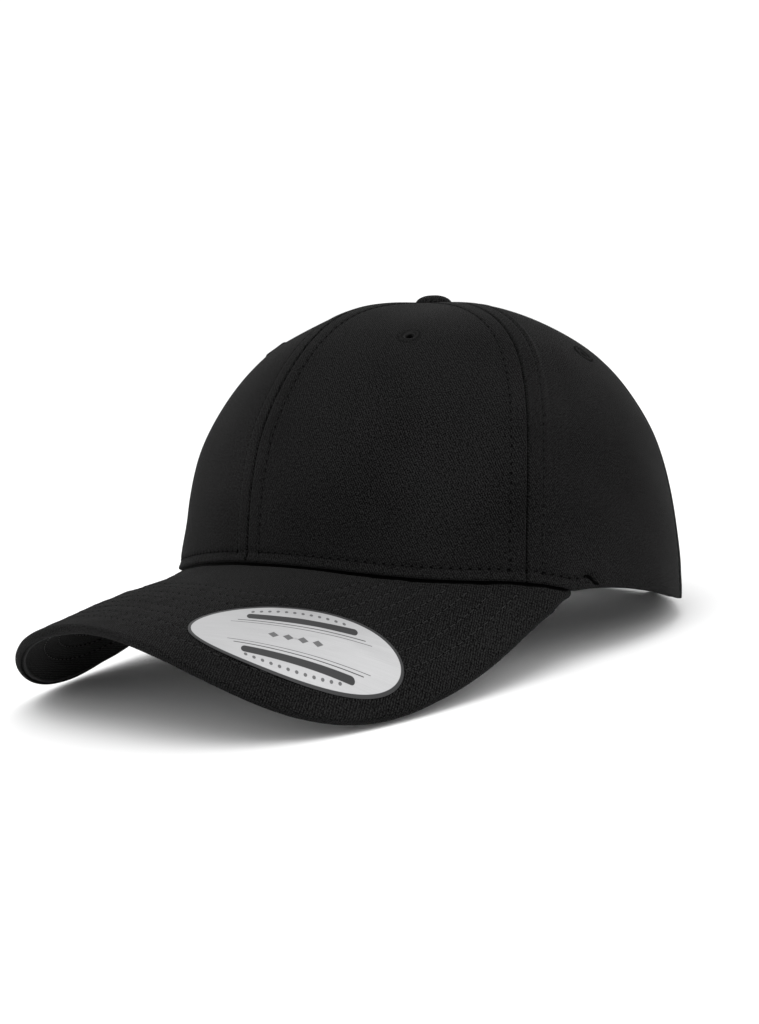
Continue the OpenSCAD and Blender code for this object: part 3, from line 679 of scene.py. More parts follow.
# the eyelet wraps' outer ends are painted dark, as shade at the ring's edge
EYELET = "eyelet_thread", thread_material("eyelet_thread", 0.0040, 0.0190, shade_from=0.9)
TAPE = "seam_tape", weave_material("seam_tape", 0.006, (0.022, 0.022, 0.023), 0.6, 0.00009, 3.0)
SWEAT = "sweatband", weave_material("sweatband", 0.005, (0.017, 0.017, 0.018), 0.45, 0.00007)
BUCKRAM = "buckram", weave_material("buckram", 0.008, 0.040, 1.1, 0.00018)
LINING = "interlining", weave_material("interlining", 0.02, 0.05, 0.8, 0.00008)
PLASTIC = "strap_plastic", rubbed_material(  # moulded satin PVC
    "strap_plastic", 2400.0, (90.0, 0.65), (0.010, 0.010, 0.011), (0.019, 0.019, 0.021), (0.3, 0.75, 0.36, 0.56),
    0.00002, 0.5, Specular_IOR_Level=0.42)
METAL = rubbed_material(  # zinc-plated steel
    "button_metal", 900.0, (160.0, 0.7), (0.52, 0.53, 0.55), (0.38, 0.39, 0.41), (0.3, 0.7, 0.28, 0.48),
    0.00003, 0.6, Metallic=1.0)
FOIL = "sticker", foil_material()


# ---- crown panels ----
LOW_ROWS = np.concatenate([[0, 0.1, 0.22, 0.36, 0.54, 0.78], np.arange(1.1, 7.2, 0.45), np.arange(7.6, 40, 1.15)])
UP_ROWS = 72
SEAM_COLS = np.array([0, 0.1, 0.2, 0.32, 0.5, 0.8, 1.3, 2.0, 2.7])


def panel_angles(th_a, th_b):
    """Angles across a panel, closer together beside its two seams."""
    width = HALF_W * math.radians(th_b - th_a)
    middle = np.linspace(3.4, width - 3.4, int((width - 6.8) / 0.85) + 1)
    across = np.concatenate([SEAM_COLS, middle, (width - SEAM_COLS)[::-1]])
    gap = 0.04
    return mix(th_a, th_b, gap / width + across / width * (1 - 2 * gap / width))


def crown_rows(th):
    """t for every row and angle: even heights near the rim, even turns above."""
    low = t_at(th[None], LOW_ROWS[:, None])
    top = low[-1][None]
    k = np.arange(1, UP_ROWS + 1)[:, None] / UP_ROWS
    return np.concatenate([low, mix(top, TOP_T, k)])


def seam_relief(s, v):
    """How the cloth stands out s millimetres beside a seam: raised by the allowance, pulled in by stitches."""
    allowance = 0.28 * smooth(s / 0.9) * (1 - smooth((s - 4.4) / 2.4))
    groove = -0.85 * bump(s, 0, 0.26)
    pull = -0.26 * bump(s, TOPSTITCH_AT, 0.6) * (0.72 + 0.28 * np.cos(2 * math.pi * v / PITCH))
    return allowance + groove + pull


def rim_relief(th, h, x):
    """Along the visor the cloth is sewn down and bulges below the row; elsewhere the rim is a rounded hem."""
    pucker = np.cos(2 * math.pi * x / PITCH)
    row = -0.42 * bump(h, SEAM_ROW_H + 0.1, 0.75) * (0.66 + 0.34 * pucker)
    roll = 0.55 * bump(h, 1.1, 1.2) * (1 - 0.14 * pucker)
    sewn = row + roll - 1.15 * bump(h, 0, 0.3)
    hem = -0.2 * bump(h, 0, 0.3) - 0.1 * bump(h, 9, 2.5)
    return mix(hem, sewn, smooth((VISOR_END + 6 - np.abs(th)) / 3))


def side_fullness(th, h):
    """The cloth stands out a little just above the visor on the wearer's right."""
    return 1.9 * bump(th, -48, 15) * smooth((h + 1) / 1.3) * (1 - smooth((h - 3) / 17))


def stiff_step(t, beyond):
    """The stiffened front and its taped seam stand proud; the soft side panel falls away from a crisp fold."""
    height = smooth(t / 0.2) * (1 - smooth((t - 0.6) / 0.35))
    fall = 0.5 * smooth((beyond - 6.4) / 2.0) + 0.5 * smooth((beyond - 7.0) / 9)
    fold = 0.5 * bump(beyond, 6.9, 0.9) * smooth((t - 0.35) / 0.2)
    return height * (0.9 * (1 - fall) + fold)


def swell(th, t, points):
    """How far the crown's cloth stands off its plain surface, apart from seams, stitches and hems."""
    around, scale = np.abs(wrap(th)), mm_per_degree(th, t)
    gap = np.min([np.abs(wrap(th - seam)) for seam in SEAMS], 0) * scale
    soft = np.where(around < FRONT_SEAM, 0.16, np.where(around < REAR_SEAM, 0.34, 0.42))
    h = points[..., 2] - rim_z(wrap(th))
    loose = soft * ripples(points, 24, 70, 5) * (0.35 + 0.65 * smooth(gap / 14))
    step = stiff_step(t, np.maximum(around - FRONT_SEAM, 0) * scale)
    return loose + step + side_fullness(th, h) + visor_end_pucker(th, h)


def panel_relief(th, t, h, points):
    left = run_lengths(points, 1)
    total = left[:, -1:]
    right = total - left
    v = run_lengths(points, 0)
    x = run_lengths(points[:1], 1)
    fade = 1 - smooth((t - 0.8) / 0.16) * 0.5
    relief = (seam_relief(left, v) + seam_relief(right, v)) * fade + rim_relief(th, h, x) + swell(th, t, points)
    return relief, np.stack([left - total / 2, v], -1)


def visor_end_pucker(th, h):
    """Where the visor seam ends, the bar tack pulls the cloth into a short crease with a hooked end."""
    a = (np.abs(th) - (VISOR_END + 5)) * 1.62
    crease = -0.95 * bump(a, -1.8, 2.4) * bump(h, 4.4, 0.8)
    hook = -0.95 * bump(a, 0.9 + 0.5 * (3.0 - h), 0.8) * bump(h, 3.0, 1.3)
    fold = 0.35 * bump(a, 4.5, 2.5) * bump(h, 5.5, 5.0)
    return crease + hook + fold


def panel(name, th_a, th_b, eyelet_t, rests_on, arch_side=0):
    th = panel_angles(th_a, th_b)
    t = crown_rows(th)
    th = np.broadcast_to(th, t.shape)
    if arch_side:
        th, t = under_arch(th, t, arch_side)
    base, normal = crown_pt(th, t), crown_normal(th, t)
    h = base[..., 2] - rim_z(wrap(th))
    relief, uv = panel_relief(th, t, h, base)
    if arch_side:
        relief += arch_relief(base)
    # painted shade in the gap under the hem, along the visor seam
    painted_shade = (1 - smooth(h / 0.4)) * smooth((VISOR_END + 4 - np.abs(th)) / 3)
    cloth(name + "_cloth", base + normal * relief[..., None], base - normal * PANEL_T, uv, BLACK, name,
          (crown_pt((th_a + th_b) / 2, eyelet_t), PUNCH_R), [("painted_shade", painted_shade)])


# ---- rear arch ----
def arch_angle(t):
    return ARCH_HALF * np.sqrt(np.maximum(0, 1 - (np.asarray(t, float) / ARCH_T) ** 2))


def under_arch(th, t, side):
    """Squeezes a back panel's columns so that its inner edge follows the arch, with rows that follow its height."""
    low = ARCH_T * np.sin(np.linspace(0, math.pi / 2, 46))
    levels = np.concatenate([low, np.linspace(ARCH_T, TOP_T, 86)[1:]])
    outer, inner = sorted(np.abs(th[0, [0, -1]]))
    share = (np.abs(th[0]) - outer) / (inner - outer)
    t = np.repeat(levels[:, None], th.shape[1], 1)
    end = np.minimum(inner, 180 - arch_angle(levels))[:, None]
    return side * mix(outer, end, share[None]), t


def arch_relief(points):
    """The hem round the arch, by the distance from the arch's edge, measured roughly across it."""
    turn = np.linspace(0, math.pi, 161)
    edge = crown_pt(180 - ARCH_HALF * np.cos(turn), ARCH_T * np.sin(turn))
    gap = np.min([np.linalg.norm(points - p, axis=-1) for p in edge], 0)
    hem = 0.3 * smooth(gap / 1.4) * (1 - smooth((gap - 5.2) / 1.8))
    return hem - 0.6 * bump(gap, 0, 0.7) - 0.2 * bump(gap, 6.2, 0.6)


def arch_place(turn, grow):
    """Crown coordinates of points round the arch, grow times its own size."""
    return 180 - ARCH_HALF * grow * cosd(turn), ARCH_T * grow * sind(turn)


def arch_binding():
    """A folded tape round the arch: flat inside, with a soft bead where it turns over the cut edge."""
    turn, grow = np.meshgrid(np.linspace(0.5, 179.5, 150), np.linspace(0.985, 1.2, 12))
    bead = 0.35 * bump(grow, 0.985, 0.03)
    depth = PANEL_T + LAYER_GAP - bead
    over, under = (on_crown(*arch_place(turn, grow), -d) for d in (depth, depth + TAPE_T + bead))
    uv = np.stack([(grow - 1) * 60, run_lengths(over, 1)], -1)
    cloth("arch_binding_cloth", over, under, uv, TAPE, "arch_binding")


# ---- lining ----
def seam_tape(name, th, t_a, depth):
    t, w = np.broadcast_arrays(np.linspace(t_a, 0.93, 110)[:, None], np.linspace(-TAPE_HALF_W, TAPE_HALF_W, 29))
    angle = beside(th, t, w)
    pad = 0.12 * np.cos(2 * math.pi * w / 6) - 0.22 * bump(np.abs(w), TOPSTITCH_AT, 0.7)
    hem = -0.15 * smooth((np.abs(w) - 8.4) / 0.6)
    over, under = on_crown(angle, t, -depth), on_crown(angle, t, -depth - TAPE_T - pad - hem)
    uv = np.stack([w, run_lengths(over, 0)], -1)
    cloth(name + "_cloth", over, under, uv, TAPE, name)


def stiffener(word, side):
    """Buckram behind a front panel, open at the eyelet."""
    th = side * np.linspace(0.4, FRONT_SEAM - 0.4, 60)
    t = np.concatenate([t_at(30.0, np.linspace(1, 38, 20)), np.linspace(0.24, 0.9, 50)])
    th, t = np.meshgrid(th, t)
    over, under = on_crown(th, t, -BUCKRAM_D), on_crown(th, t, -BUCKRAM_D - BUCKRAM_T)
    hole = on_crown(side * FRONT_SEAM / 2, FRONT_EYELET_T, -BUCKRAM_D), PUNCH_R
    cloth(f"front_stiffener_{word}_cloth", over, under, None, BUCKRAM, f"front_stiffener_{word}",
          hole)


def sweat_depth(h, points):
    """How deep the band's outer side lies: out at its foot, where it is sewn in, and swaying a little above."""
    sway = 0.35 * ripples(points, 22, 60, 11) * smooth((h - 8) / 16)
    return mix(2.6, SWEAT_D, smooth(h / 7)) + INTERLINING_T + 0.2 + sway


def sweatband():
    th = np.linspace(-SWEAT_END, SWEAT_END, 420)
    h = np.concatenate([np.linspace(0.6, 6, 9), np.linspace(7, SWEAT_H - 3, 20),
                        np.linspace(SWEAT_H - 2.6, SWEAT_H, 9)])
    keep = (h > 3) & (h < SWEAT_H - 3)
    th, h = np.broadcast_arrays(th, h[:, None])
    t = t_at(th, h)
    base = crown_pt(th, t)
    hem = 0.35 * smooth((h - SWEAT_H + 3.2) / 0.8) * (1 - smooth((h - SWEAT_H + 0.5) / 0.5))
    row = -0.25 * bump(h, SWEAT_H - 3.6, 0.5) - 0.3 * bump(h, 4.5, 0.6)
    inner = sweat_depth(h, base)
    over, under, back, front = (on_crown(th, t, -d) for d in (
        inner, inner + SWEAT_T + hem + row, inner - INTERLINING_T - 0.15, inner - 0.12))
    uv = np.stack([run_lengths(base, 1), h], -1)
    cloth("sweatband_face_cloth", over, under, uv, SWEAT, "sweatband_face")
    cloth("sweatband_interlining_cloth", back[keep], front[keep], uv[keep], LINING, "sweatband_interlining")


# ---- visor ----
def edge_distance(xy):
    """Distance in plan from each point to the visor's outline."""
    outline, flat = edge_xy(even_edge(900)), xy.reshape(-1, 2)
    out = [np.linalg.norm(flat[k:k + 4000, None] - outline, axis=-1).min(1) for k in range(0, len(flat), 4000)]
    return np.concatenate(out).reshape(xy.shape[:-1])


STITCH_ROWS = FIRST_ROW + 0.25 + ROW_PITCH * np.arange(ROW_COUNT)


def row_grooves(w, width):
    """1 in the bottom of each stitched row's groove."""
    return sum(bump(w, row, width) for row in STITCH_ROWS)


def visor_plan(columns, rows, inset):
    a = even_edge(columns)
    k = np.concatenate([np.linspace(0, 0.04, 15)[:-1], np.linspace(0.04, 0.955, rows - 28)[:-1],
                        np.linspace(0.955, 1, 15)])
    return a, mix(inset_xy(a, inset), plan(a * VISOR_END) * TUCK, k[:, None, None])


def rolled(a, depth, phi):
    """The cover's edge: phi 0 is on top, 90 is straight out."""
    p = inset_xy(a, EDGE_R)
    n, top = visor_normal(p), visor_top(p)
    out = unit(visor_top(p + edge_out(a) * 0.5) - top)
    return top - n * EDGE_R + (out * sind(phi) + n * cosd(phi)) * (EDGE_R - depth), n


def turned_under(a, depth, phi):
    """The cover's lower edge, turned under the board: phi 90 is straight out, 180 is underneath."""
    outer, n = rolled(a, 0.0, 90.0)
    out = unit(outer - rolled(a, EDGE_R, 90.0)[0])
    centre = outer - out * UNDER_R - n * (VISOR_T - EDGE_R - UNDER_R - 0.1)
    return centre + (out * sind(phi) + n * cosd(phi)) * (UNDER_R - depth)


def top_swell(xy, w):
    """How far the visor's cover stands off its plain surface, apart from stitches: soft, and fuller at the crown."""
    flat, beyond = visor_top(xy), past_crown(xy)
    around = np.degrees(np.arctan2(xy[..., 0], -xy[..., 1]))
    soft = 0.16 * ripples(flat, 18, 60, 21) * smooth(w / 6) + 0.10 * ripples(flat, 5, 11, 22) * row_quilt(w)
    full = 0.9 * bump(around, -54, 15) * (1 - smooth((beyond - 1) / 14)) * smooth(w / 5)
    pocket = -0.4 * bump(beyond, 0.0, 0.35) * smooth(w / 4)
    return soft + full + pocket + 0.55 * smooth(-beyond)


def under_swell(xy):
    return 0.10 * ripples(visor_top(xy), 18, 50, 31)


def visor_cover(columns=340, rows=176):
    a, xy = visor_plan(columns, rows, EDGE_R)
    w = edge_distance(xy)
    wave = 0.05 * ripples(visor_top(edge_xy(a)), 8, 30, 23)
    outer, inner = (np.stack([turned_under(a, depth, phi) for phi in np.linspace(172, 90, 9)]
                             + [rolled(a, depth, phi)[0] for phi in np.linspace(90, 8, 12)])
                    for depth in (0.0, COVER_T))
    outer += visor_normal(edge_xy(a)) * wave[:, None]
    over = np.concatenate([outer, on_visor(xy, top_swell(xy, w) - 0.12 * row_grooves(w, 0.6))])
    under = np.concatenate([inner, on_visor(xy, -COVER_T)])
    run, bends = run_lengths(over, 0), len(outer)
    turned = xy[0] + edge_out(a) * (run[bends] - run[:bends])[..., None]
    # painted shade where the cover runs in under the crown
    painted_shade = np.concatenate([np.zeros((bends, columns)), 1 - smooth((past_crown(xy) + 0.25) / 0.5)])
    cloth("visor_top_cloth", over, under, np.concatenate([turned, xy]), BLACK, "visor_top_cover",
          shares=[("painted_shade", painted_shade)])


def row_quilt(w):
    """Cloth puffs a little between the stitched rows."""
    return smooth((w - 3) / 3) * (1 - smooth((w - STITCH_ROWS[-1]) / 4))


def visor_under(columns=300, rows=150):
    _, xy = visor_plan(columns, rows, BOARD_INSET)
    w = edge_distance(xy)
    bead = 0.5 * bump(w, BOARD_INSET + 0.95, 0.36) - 0.68 * bump(w, BOARD_INSET, 0.42)
    over = on_visor(xy, -(VISOR_T - 0.10 * row_grooves(w, 0.6) + under_swell(xy) + bead))
    under = on_visor(xy, -(COVER_T + 2 * LAYER_GAP + BOARD_T))
    # a painted highlight along the bead under the edge, and painted shade in the groove beside it
    shares = [("painted_highlight", bump(w, BOARD_INSET + 1.05, 0.28)), ("painted_shade", 0.9 * bump(w, BOARD_INSET + 0.1, 0.4))]
    cloth("visor_under_cloth", over, under, xy, UNDER, "visor_under_cover", shares=shares)


# ---- stitching ----
def visor_rows(sign, depth, rise, radius):
    """Stitch rows parallel to the edge; sign 1 is the top, -1 the underside."""
    parts = []
    for row in STITCH_ROWS:
        xy = inset_xy(np.linspace(-0.96, 0.96, 700), row)
        xy = xy[past_crown(xy) > 0.022 * HALF_L]
        lie = top_swell(xy, row) if sign > 0 else -under_swell(xy)
        parts.append(stitched(on_visor(xy, depth + lie), visor_normal(xy) * sign, rise, 0.1, radius=radius, fat=0.2))
    return joined(parts)


def crown_stitches(th, t, off, rise, dip, inside=False, **size):
    """Stitches off millimetres above the swelled cloth, or inside, that deep under its plain surface."""
    normal, line = crown_normal(th, t), crown_pt(th, t)
    lie = np.asarray(-off if inside else off + swell(th, t, line))[..., None]
    return stitched(line + normal * lie, -normal if inside else normal, rise, dip, **size)


def crown_rows_stitching():
    parts = []
    for th in SEAMS:
        for w in (-TOPSTITCH_AT, TOPSTITCH_AT):
            t = np.linspace(ARCH_T * 1.12 if th == 180 else 0.002, 0.945, 400)
            angle = beside(th, t, w)
            parts.append(crown_stitches(angle, t, -0.1, 0.06, 0.1))
            depth = (FRONT_TAPE_D if abs(th) < 90 else REAR_TAPE_D) + TAPE_T
            keep = (t > (0.12 if abs(th) < 90 else 0.31)) & (t < 0.92)
            parts.append(crown_stitches(angle[keep], t[keep], depth - 0.12, 0.12, 0.3, inside=True))
    turn = np.linspace(2, 178, 400)
    for grow, sign, depth in ((1.115, 1, 0.02), (1.17, -1, PANEL_T + LAYER_GAP + TAPE_T - 0.05)):
        place = arch_place(turn, grow)
        parts.append(stitched(on_crown(*place, -depth), crown_normal(*place) * sign, 0.1, 0.35))
    return joined(parts)


def seam_row_stitching():
    """The row above the visor, with a bar tack of nine threads on a slanting hook at both ends."""
    th = np.linspace(-VISOR_END - 5, VISOR_END + 5, 900)
    parts = [crown_stitches(th, t_at(th, SEAM_ROW_H + 0.1), -0.28, 0.1, 0.1, radius=0.26)]
    for side in (-1, 1):
        for k in range(9):
            th = side * (VISOR_END + 3.9 + 0.27 * k + np.linspace(-0.6, 0.6, 30))
            t = t_at(th, SEAM_ROW_H + 0.5 - 0.38 * k)
            points, faces, uv = crown_stitches(th, t, 0.05, 0.12, 0.3, pitch=2.9, radius=0.22)
            # the bar tack's threads carry painted shade all along, as the shadow of the crease they pull
            uv[:, 0] = 1.0  # dark along its whole length
            parts.append((points, faces, uv))
    return parts


def sweat_stitching():
    """The sweatband's own rows show on its face."""
    parts = []
    for h in (4.5, SWEAT_H - 3.6):
        th = np.linspace(-SWEAT_END + 0.4, SWEAT_END - 0.4, 1600)
        t = t_at(th, h)
        depth = sweat_depth(h, crown_pt(th, t)) + SWEAT_T - 0.25
        parts.append(crown_stitches(th, t, depth, 0.12, 0.3, inside=True))
    return parts


# ---- eyelets ----
def eyelet(th, t, depth, seed):
    """Overlocked hole: a padded collar with thread wraps laid over it from the hole outwards."""
    centre, n = crown_pt(th, t), crown_normal(th, t)
    centre = centre + n * (swell(th, t, centre) - 0.08)
    x_axis = unit(crown_pt(th + 0.5, t) - crown_pt(th - 0.5, t))
    r = np.random.default_rng(seed)
    wraps = 36
    turn = 2 * math.pi * (np.arange(wraps) + r.uniform(-0.18, 0.18, wraps)) / wraps
    reach = RING_R - 0.35 + r.uniform(-0.25, 0.25, wraps)
    share = np.linspace(0, 1, 12)
    out = HOLE_R - 0.1 + (reach[:, None] - HOLE_R) * share**0.8
    lift = 0.24 * np.sin(np.clip(share * 1.05, 0, 1) * math.pi) ** 0.6 - 0.75 * (1 - share) ** 5 - 0.2 * share**6 - 0.06
    twist = (turn[:, None] + 0.12 * share**2)[..., None]
    across = np.cos(twist) * x_axis + np.sin(twist) * np.cross(n, x_axis)
    points, faces, uv = tubes(centre + across * out[..., None] + n * lift[:, None], 0.27 * (1 - 0.15 * share**2)[None])
    wrapped = points, faces, along_share(uv, wraps, share)
    collar = [(HOLE_R + 0.25, -depth), (HOLE_R + 0.12, -0.3), (HOLE_R + 0.35, -0.02), (HOLE_R + 1.0, 0.06),
              (RING_R - 1.7, 0.03), (RING_R - 1.3, -0.1), (RING_R - 1.2, -0.35), (HOLE_R + 0.9, -0.5),
              (HOLE_R + 0.8, -depth)]
    points, faces, uv = lathe(collar, 48, centre, n, x_axis, ring=True)
    return joined([wrapped, (points, faces, uv * 0)])


# ---- button ----
def button():
    """Cloth drawn over a pressed dome: full on top, gathered in soft pleats under its edge."""
    wide, high = BUTTON_R - 0.2, BUTTON_H - 0.25
    outer = [(wide * sind(p) ** 0.92, high * max(0.0, cosd(p)) ** 1.05) for p in np.linspace(0, 90, 22)]
    outer[0] = (0.02, high)
    outer += [(wide - 0.05, -0.35), (wide - 0.5, -0.75), (wide - 1.4, -0.8)]
    inner = [(wide - 1.5, -0.3), (wide - 0.75, 0.15)]
    inner += [((wide - 0.65) * sind(p), (high - 0.6) * cosd(p)) for p in np.linspace(88, 0, 16)]

    def pleats(r, z, a):
        low = smooth((0.7 - z) / 1.2) * smooth(r / 5)
        return r + low * 0.10 * (np.cos(19 * a) + 0.5 * np.cos(31 * a + 1)), z + 0.05 * np.cos(3 * a) * smooth(r / 4)

    mesh = lathe((outer + inner)[::-1], 120, np.array([0, APEX_BACK, CROWN_H + BUTTON_LIFT]), wobble=pleats)
    piece = as_piece("button_cover_cloth", mesh, BLACK, ["button_cover"], sharp=70)


# ---- snap straps ----
def off_centre(p):
    """Unit vectors in plan, away from the middle of the straps' arc."""
    return unit(p * np.array([1, 1, 0]) - np.array([0, STRAP_CY, 0]))


def strap_path(side):
    """The strap's middle line from its sewn root to its round tip."""
    th = np.linspace(180 - ARCH_HALF - 13, 180 - ARCH_HALF - 0.8, 20)
    root = on_crown(th, t_at(th, STRAP_LIFT + STRAP_H / 2), -(PANEL_T + LAYER_GAP + TAPE_T + 0.8))
    x = np.linspace(HINGE_X, -STRAP_TIP, 90)
    middle = rim_z(180 - ARCH_HALF) + STRAP_LIFT + STRAP_H / 2
    band = np.stack([x, STRAP_CY + np.sqrt(STRAP_R**2 - x * x), np.full(x.shape, middle)], -1)
    offset = side * (STRAP_GAP + STRAP_T) / 2 * smooth((HINGE_X + 1 - x) / 14)
    path = np.concatenate([root, band + off_centre(band) * offset[:, None]])
    run = run_lengths(path, 0)
    path = resampled(np.linspace(0, run[-1], 150), run, path)
    for _ in range(6):
        path[1:-1] = (path[:-2] + 2 * path[1:-1] + path[2:]) / 4
    return path, run_lengths(path, 0)


def strap(name, sign, pegs):
    """Half of the strap, with pegs or else holes; sign is the side of x on which its root is sewn."""
    side = -1 if pegs else 1  # 1 lies outside, -1 inside
    path, run = strap_path(side)
    tangent = unit(np.gradient(path, axis=0) * np.array([1, 1, 0]))
    outward = np.stack([tangent[:, 1], -tangent[:, 0], 0 * tangent[:, 0]], -1)
    outward *= np.sign(outward[:, 1].mean())
    left, tip = run[-1] - run, STRAP_H / 2
    half = np.where(left < tip, np.sqrt(np.maximum(0.3, tip**2 - (tip - left) ** 2)), tip)
    share = np.concatenate([[-1, -0.985, -0.95, -0.9], np.linspace(-0.85, 0.85, 25), [0.9, 0.95, 0.985, 1]])[:, None]
    middle = path + np.array([0, 0, 1.0]) * (half * share)[..., None]
    rim_run = np.minimum(left, (1 - np.abs(share)) * tip)
    lip = 0.22 * smooth(rim_run / 0.25) * (1 - smooth((rim_run - 1.0) / 0.5))
    round_off = -0.3 * (1 - smooth(rim_run / 0.5))
    x = PEG_PITCH * np.arange(-1, 5)
    studs = np.stack([x, STRAP_CY + np.sqrt(STRAP_R**2 - x * x), 0 * x], -1)
    studs += off_centre(studs) * side * (STRAP_GAP + STRAP_T) / 2
    studs[:, 2] = level = path[-1, 2]
    if not pegs:
        for stud in studs:
            lip = lip + 0.22 * bump(np.linalg.norm(middle - stud, axis=-1), STRAP_HOLE_R + 0.75, 0.45)
    thick = STRAP_T / 2 + round_off
    over = (middle + outward * (thick + lip)[..., None]).reshape(-1, 3)
    under = (middle - outward * thick[..., None]).reshape(-1, 3)
    quads = facing_out(over, under, grid_quads(len(share), len(path)))
    if not pegs:
        for stud in studs:
            quads = punch(over, under, quads, stud, STRAP_HOLE_R)
    uv = np.stack(np.broadcast_arrays(run, half * share), -1).reshape(-1, 2)
    parts = [closed(over, under, quads, uv)]
    if pegs:
        height = STRAP_T / 2 + STRAP_GAP + STRAP_T + 0.4
        profile = [(PEG_R + 0.5, 0.2), (PEG_R + 0.45, STRAP_T / 2 + 0.05), (PEG_R - 0.1, STRAP_T / 2 + 0.3),
                   (PEG_R - 0.15, height - 1.0), (PEG_R + 0.12, height - 0.6), (PEG_R, height - 0.2),
                   (PEG_R - 0.45, height + 0.05), (0.6, height + 0.12), (0.02, height + 0.05)]
        parts += [lathe(profile, 28, stud, off_centre(stud), (0, 0, 1)) for stud in studs]
    points, faces, uv = joined(parts)
    if sign < 0:
        points, faces = points * np.array([-1, 1, 1]), faces[:, ::-1]
    piece = as_piece(name + "_band", (points, faces, uv), PLASTIC, [name, name + "_root"], sharp=42, body=None)
    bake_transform(piece)


# ---- sticker ----
def sticker():
    """Thin foil oval, pressed onto the curved cloth; its edge stands up by the foil's thickness."""
    rows, cols = 60, 120
    radius = np.concatenate([[0.0], np.linspace(0.04, 0.985, rows - 3), [0.996, 1.0]])[:, None]
    turn = 2 * math.pi * np.arange(cols) / cols
    u, v = radius * np.cos(turn), radius * np.sin(turn)
    c, s = cosd(STICKER_TURN), sind(STICKER_TURN)
    p, q = STICKER_L * u, STICKER_W * v
    xy = np.stack([STICKER_X + p * c - q * s, -STICKER_Y + p * s + q * c], -1)
    lie = 0.05 * ripples(visor_top(xy), 14, 40, 41) - 0.02 * row_grooves(edge_distance(xy), 0.8)
    over = on_visor(xy, 0.46 + lie - 0.06 * (radius > 0.99)).reshape(-1, 3)
    under = on_visor(xy, 0.26 + lie).reshape(-1, 3)
    quads = facing_out(over, under, grid_quads(rows, cols, wrap_cols=True))
    quads = quads[np.linalg.norm(over[quads[:, 0]] - over[quads[:, 2]], axis=1) > 1e-6]
    mesh = closed(over, under, quads, np.stack([u, v], -1).reshape(-1, 2))
    as_piece("visor_sticker_foil", mesh, FOIL, ["visor_sticker"], sharp=60)


# ---- build ----
for part, near, far, eyelet_t, rests_on, arch in (
        ("front", 0, FRONT_SEAM, FRONT_EYELET_T, "front_stiffener_{}_cloth", 0),
        ("side", FRONT_SEAM, REAR_SEAM, SIDE_EYELET_T, "sweatband_interlining_cloth", 0),
        ("back", REAR_SEAM, 180, SIDE_EYELET_T, "seam_tape_rear_{}_cloth", 1)):
    for word, side in (("left", 1), ("right", -1)):
        ends = sorted((side * near, side * far))
        panel(f"{part}_panel_{word}", *ends, eyelet_t, rests_on.format(word), side * arch)
for word, angle, start, depth in (
        ("front_left", FRONT_SEAM, 0.03, FRONT_TAPE_D), ("front_right", -FRONT_SEAM, 0.03, FRONT_TAPE_D),
        ("centre_front", 0, 0.03, FRONT_TAPE_D), ("rear_left", REAR_SEAM, 0.03, REAR_TAPE_D),
        ("rear_right", -REAR_SEAM, 0.03, REAR_TAPE_D), ("centre_back", 180, ARCH_T * 1.24, REAR_TAPE_D)):
    seam_tape("seam_tape_" + word, angle, start, depth)
stiffener("left", 1)
stiffener("right", -1)
sweatband()
arch_binding()
visor_cover()
visor_under()
for node, mesh, look in (
        ("visor_top_stitching", visor_rows(1, -0.14, 0.04, 0.18), ROW_THREAD),
        ("visor_under_stitching", visor_rows(-1, -VISOR_T + 0.04, 0.12, 0.17), UNDER_THREAD),
        ("crown_topstitching", crown_rows_stitching(), THREAD),
        ("visor_seam_stitching", joined([joined(seam_row_stitching()), joined(sweat_stitching())]), THREAD)):
    as_piece(node + "_thread", mesh, look, [node], sharp=0)
for node, middle, t, depth, seed in (
        ("front_eyelets", FRONT_SEAM / 2, FRONT_EYELET_T, 1.9, 61),
        ("side_eyelets", (FRONT_SEAM + REAR_SEAM) / 2, SIDE_EYELET_T, 1.3, 63),
        ("back_eyelets", (REAR_SEAM + 180) / 2, SIDE_EYELET_T, 1.3, 65)):
    mesh = joined([eyelet(middle, t, depth, seed), eyelet(-middle, t, depth, seed + 1)])
    as_piece(node + "_thread", mesh, EYELET, [node], sharp=0)
button()
strap("hole_strap", -1, False)
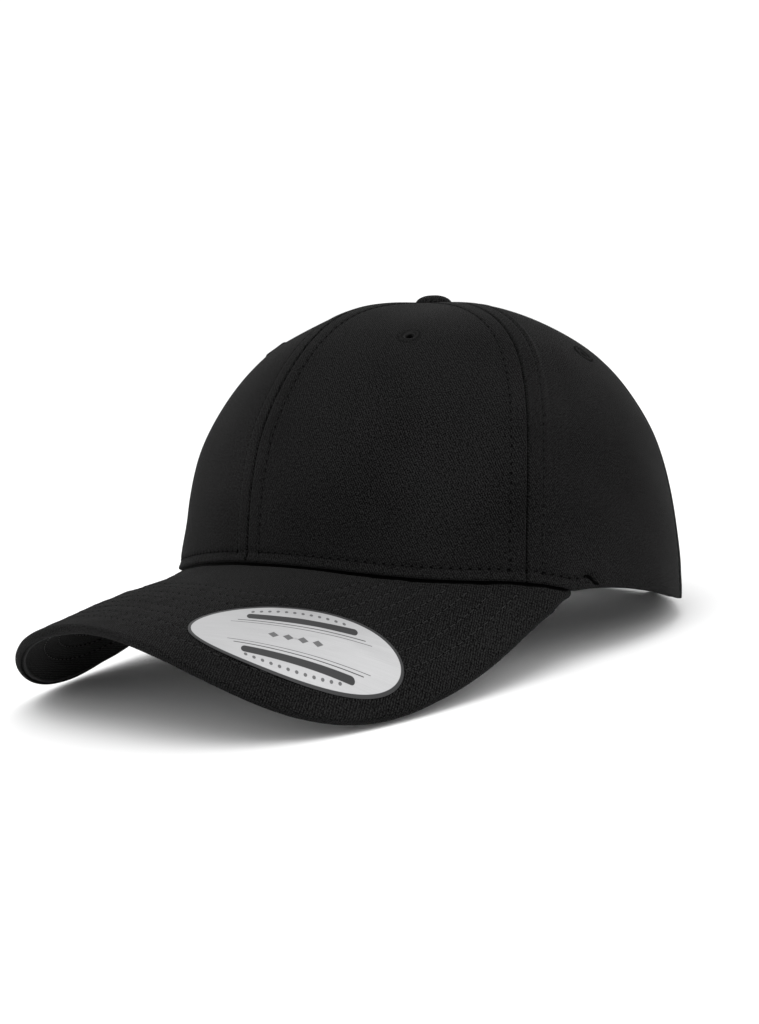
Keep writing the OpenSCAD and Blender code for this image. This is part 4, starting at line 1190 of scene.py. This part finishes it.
strap("peg_strap", 1, True)
sticker()
for node, material in (("button_core", METAL), ("button_rivet", METAL), ("visor_board", board_material())):
    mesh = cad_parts[node].data
    mesh.materials.clear()
    mesh.materials.append(material)


# ---- stage ----
def area_light(name, size, power, location):
    light = bpy.data.lights.new(name, "AREA")
    light.shape, light.size, light.size_y, light.energy = "RECTANGLE", *size, power
    lamp = added(name, light)
    lamp.location = location
    lamp.rotation_euler = (Vector((0, 0, 0.05)) - Vector(location)).to_track_quat("-Z", "Y").to_euler()


def stage():
    size = 60.0
    mesh = bpy.data.meshes.new("floor")
    mesh.from_pydata([(-size, -size, 0), (size, -size, 0), (size, size, 0), (-size, size, 0)], [], [(0, 1, 2, 3)])
    mesh.materials.append(floor_material())
    added("floor", mesh)
    world = bpy.data.worlds.new("studio")
    bpy.context.scene.world = world
    world.use_nodes = True
    sky = world.node_tree.nodes["Background"].inputs
    sky["Color"].default_value, sky["Strength"].default_value = (1.0, 1.0, 1.0, 1.0), 1.12
    area_light("key_top", (1.6, 1.2), 14.0, (0.3, -0.5, 1.7))
    area_light("fill_left", (1.0, 1.4), 0.5, (-1.4, -0.9, 0.7))
    area_light("fill_right", (1.0, 1.4), 4.0, (1.5, 0.5, 0.6))
    bpy.context.scene.view_settings.view_transform = "Standard"


def camera():
    """The photographed view, level with the cap's own rim: 45.6 degrees round to the wearer's left, 0.61 m away."""
    azimuth, position = math.radians(45.564), np.array([425.236, -442.620, 18.452])
    back = unit(np.array([0.71402, -0.70011, 0.005066]))
    right = np.array([math.cos(azimuth), math.sin(azimuth), 0.0])
    right = unit(right - back * (right @ back))
    axes = np.stack([right, np.cross(back, right), back], -1)
    data = bpy.data.cameras.new("camera")
    data.sensor_width, data.lens = 36.0, 1671.72 / 1024 * 36.0
    data.clip_start, data.clip_end = 0.01, 200.0
    cam = added("camera", data)
    cam.matrix_world = Matrix.Translation(Vector(placed(position))) @ Matrix((TIP @ axes).tolist()).to_4x4()
    bpy.context.scene.camera = cam


stage()
camera()
